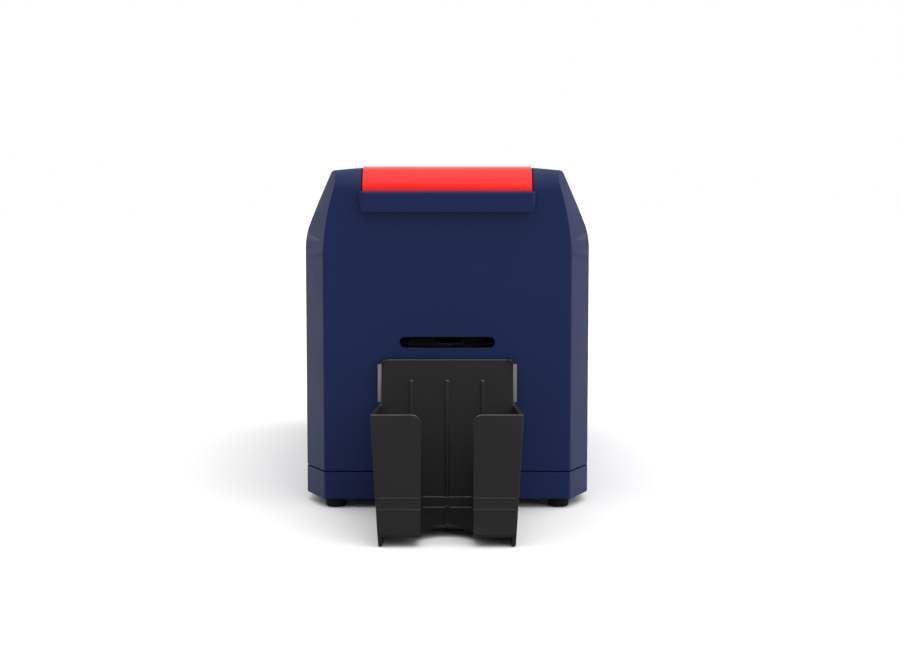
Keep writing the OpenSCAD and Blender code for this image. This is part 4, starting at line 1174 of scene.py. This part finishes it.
@dataclass
class HeadParts:
    """Heater strip of the print head, and the screws of the head and its bracket.

    Attributes:
        head: Node of the print head.
        bracket: Node of the bracket that holds it under the lid.
        bar: Thickness of the bar that the strip is bonded to, in millimetres.
        strip: Size of the heater strip, in millimetres.
        gap: How far the strip stands over the head's lowest edge.
        screw: The screw used on both.
        inset: Distance of the bracket's screws from its sides and ends.
        sheet: Thickness of the bracket's sheet.
        plate: Height of the bracket's plate over its lowest edge.
        apart: Distance of the plate's screws from the middle.
        turns: How far the sheet's and the plate's screws are turned, in degrees.
    """

    head: str = "print_head"
    bracket: str = "head_bracket"
    bar: float = 3.0
    strip: Triple = (55.0, 0.5, 2.2)
    gap: float = 0.2
    screw: PanScrew = PanScrew(2.2, 1.2, 0.6, 0.6)
    inset: Pair = (6.5, 8.0)
    sheet: float = 1.6
    plate: float = 9.0
    apart: float = 11.0
    turns: Pair = (50.0, 35.0)

    def build(self) -> None:
        """Bond the strip and fit the screws."""
        body = body_of(self.head)
        low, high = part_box(self.head)
        middle = (low + high) / 2
        strip = block("heater_strip", self.strip, (0, 0, 0), 0.15, 2)
        strip.location = Vector((
            middle.x, middle.y - self.bar / 2 * MM, low.z + (self.strip[2] / 2 + self.gap) * MM))
        settle(strip)
        smooth(strip)
        dress(strip, Coat.CERAMIC, body)
        low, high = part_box(self.bracket)
        screw = Pattern("head_screw", Coat.STEEL, self.screw.model())
        sheet = self.sheet * MM
        across, along = (part * MM for part in self.inset)
        for side, x in ((-1, low.x), (1, high.x)):
            for y in (low.y + along, high.y - along):
                at = Vector((x - side * across, y, high.z - sheet))
                screw.place(at, Facing.DOWN, body, self.turns[0] * side)
            at = Vector((middle.x + side * self.apart * MM, middle.y,
                         low.z + self.plate * MM + sheet))
            screw.place(at, Facing.UP, body, self.turns[1] * side)
        screw.discard()
        LOG.info("head: heater strip and screws")


@dataclass
class PortContacts:
    """Spring contacts on the tongues inside the two data ports.

    Attributes:
        panel: Node that the ports come through.
        square: Place across, contact count, pitch and tongue of the square port, in millimetres.
        network: The same for the network port.
        size: Length and thickness of a contact.
        depth: How far a contact's middle lies behind the panel's face.
    """

    panel: str = "rear_panel"
    square: tuple[float, int, float, float] = (-14.0, 2, 2.4, 3.8)
    network: tuple[float, int, float, float] = (12.0, 8, 0.95, 2.27)
    size: Pair = (9.0, 0.25)
    depth: float = 7.0

    def build(self) -> None:
        """Lay the contacts on the tongues."""
        low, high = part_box(self.panel)
        centre = (low.z + high.z) / 2
        for name, port in (("square", self.square), ("network", self.network)):
            across, count, pitch, tongue = port
            for side in (-1, 1):
                strip = block(
                    f"{name}_contacts_{side + 2}", (pitch / 2, *self.size), (0, 0, 0), 0.08, 1)
                repeat(strip, count, (pitch, 0, 0))
                strip.location = Vector((
                    (across - pitch * (count - 1) / 2) * MM, high.y - self.depth * MM,
                    centre + side * tongue / 2 * MM))
                settle(strip)
                smooth(strip)
                dress(strip, Coat.GOLD, body_of(self.panel))
        LOG.info("ports: contacts laid")


@dataclass
class Carried:
    """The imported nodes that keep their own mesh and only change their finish."""

    def build(self) -> None:
        """Give every node of the record the material of its slot."""
        slots = {row["node"]: row["material_slot"] for row in frame["record"]["subparts"]}
        for name, node in frame["nodes"].items():
            cover(node, Coat(slots[name]))
            node.select_set(False)
        LOG.info("carried: %d nodes dressed", len(frame["nodes"]))


@dataclass
class Studio:
    """Pale floor, white surroundings, soft lamps and the photograph's camera.

    Attributes:
        eye: Place of the camera, in millimetres.
        pitch: How far the camera looks down, in degrees.
        focal: Focal length in pixels of the photograph.
        ambient: Level of the surroundings on matt surfaces.
        floor_shade: Lightness of the floor as it lights the object.
        floor_seen: Lightness of the floor as the camera sees it.
        key: Level of the broad lamp high on the right.
        top: Level of the broad lamp overhead.
        fill: Level of the broad lamp behind on the left, which lights the floor alone.
        reach: Side of the floor, in metres.
        clip: Nearest and farthest distance that the camera sees, in metres.
    """

    eye: Triple = (1.743, -1114.3, 208.24)
    pitch: float = 5.124
    focal: float = 1530.3
    ambient: float = 0.35
    floor_shade: float = 0.62
    floor_seen: float = 0.77
    key: float = 2.7
    top: float = 1.5
    fill: float = 1.2
    reach: float = 24.0
    clip: Pair = (0.05, 60.0)

    def camera(self) -> None:
        """Place the photograph's camera."""
        data = bpy.data.cameras.new("camera")
        data.sensor_fit = "HORIZONTAL"
        data.sensor_width = SENSOR_MM
        data.lens = self.focal / IMAGE_W * SENSOR_MM
        data.clip_start, data.clip_end = self.clip
        seen = bpy.data.objects.new("camera", data)
        seen.location = Vector(self.eye) * MM
        seen.rotation_euler = (math.radians(90 - self.pitch), 0, 0)
        bpy.context.scene.collection.objects.link(seen)
        bpy.context.scene.camera = seen

    def lamps(self, floor: Piece) -> None:
        """Hang the broad lamps: high on the right, overhead, and a fill for the floor.

        Args:
            floor: The floor, which alone takes the fill.
        """
        only = bpy.data.collections.new("floor_fill")
        only.objects.link(floor)
        for name, level, towards, spread in (
            ("key", self.key, (0.56, -0.36, 0.76), 100),
            ("top", self.top, (-0.1, 0.12, 1.0), 120),
            ("fill", self.fill, (-0.8, 0.45, 0.6), 110),
        ):
            data = bpy.data.lights.new(name, "SUN")
            data.energy = level
            data.angle = math.radians(spread)
            lamp = bpy.data.objects.new(name, data)
            lamp.rotation_euler = Vector(towards).to_track_quat("Z", "Y").to_euler()
            bpy.context.scene.collection.objects.link(lamp)
            if name == "fill":
                lamp.light_linking.receiver_collection = only

    def surroundings(self) -> None:
        """Show white to the camera and to gloss, and light matt surfaces more softly."""
        world = bpy.data.worlds.new("surroundings")
        bpy.context.scene.world = world
        world.use_nodes = True
        graph = Graph(world.node_tree)
        graph.tree.nodes.remove(graph.tree.nodes["Background"])
        soft = graph.add("Background", Color=(1, 1, 1, 1), Strength=self.ambient)
        white = graph.add("Background", Color=(1, 1, 1, 1))
        ray = graph.add("LightPath").outputs
        seen = graph.reckon("MAXIMUM", ray["Is Camera Ray"], ray["Is Glossy Ray"])
        pick = graph.add("MixShader", Fac=graph.reckon("MAXIMUM", seen, ray["Is Transmission Ray"]))
        graph.feed(pick.inputs[1], soft.outputs[0])
        graph.feed(pick.inputs[2], white.outputs[0])
        graph.feed(graph.tree.nodes["World Output"].inputs["Surface"], pick.outputs[0])

    def floor(self) -> Piece:
        """Lay the pale floor.

        Returns:
            The floor.
        """
        clear()
        bpy.ops.mesh.primitive_plane_add(size=self.reach, location=(0, 0, 0))
        laid = bpy.context.object
        laid.name = "floor"
        paint = bpy.data.materials.new("floor")
        paint.use_nodes = True
        graph = Graph(paint.node_tree)
        graph.tree.nodes.remove(graph.tree.nodes["Principled BSDF"])
        seen = graph.add("LightPath").outputs["Is Camera Ray"]
        shade = graph.span(seen, (0, 1), (self.floor_shade, self.floor_seen))
        matt = graph.add("BsdfDiffuse", Color=shade).outputs[0]
        graph.feed(graph.tree.nodes["Material Output"].inputs["Surface"], matt)
        laid.data.materials.append(paint)
        return laid

    def build(self) -> None:
        """Set up the whole studio."""
        self.camera()
        self.surroundings()
        self.lamps(self.floor())
        bpy.context.scene.view_settings.view_transform = "Standard"
        LOG.info("studio: camera, lamps, surroundings and floor")


def main() -> None:
    """Build the printer's looks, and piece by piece."""
    logging.basicConfig(level=logging.INFO, format="%(name)s: %(message)s")
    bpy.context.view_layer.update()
    Studio().build()
    CLOTH.update({finish.coat: finish.build() for finish in FINISHES})
    for assembly in (
        Carried(), Casing(), Works(), Fasteners(), BoardParts(), HeadParts(), PortContacts(),
    ):
        assembly.build()


if __name__ == "__main__":
    main()
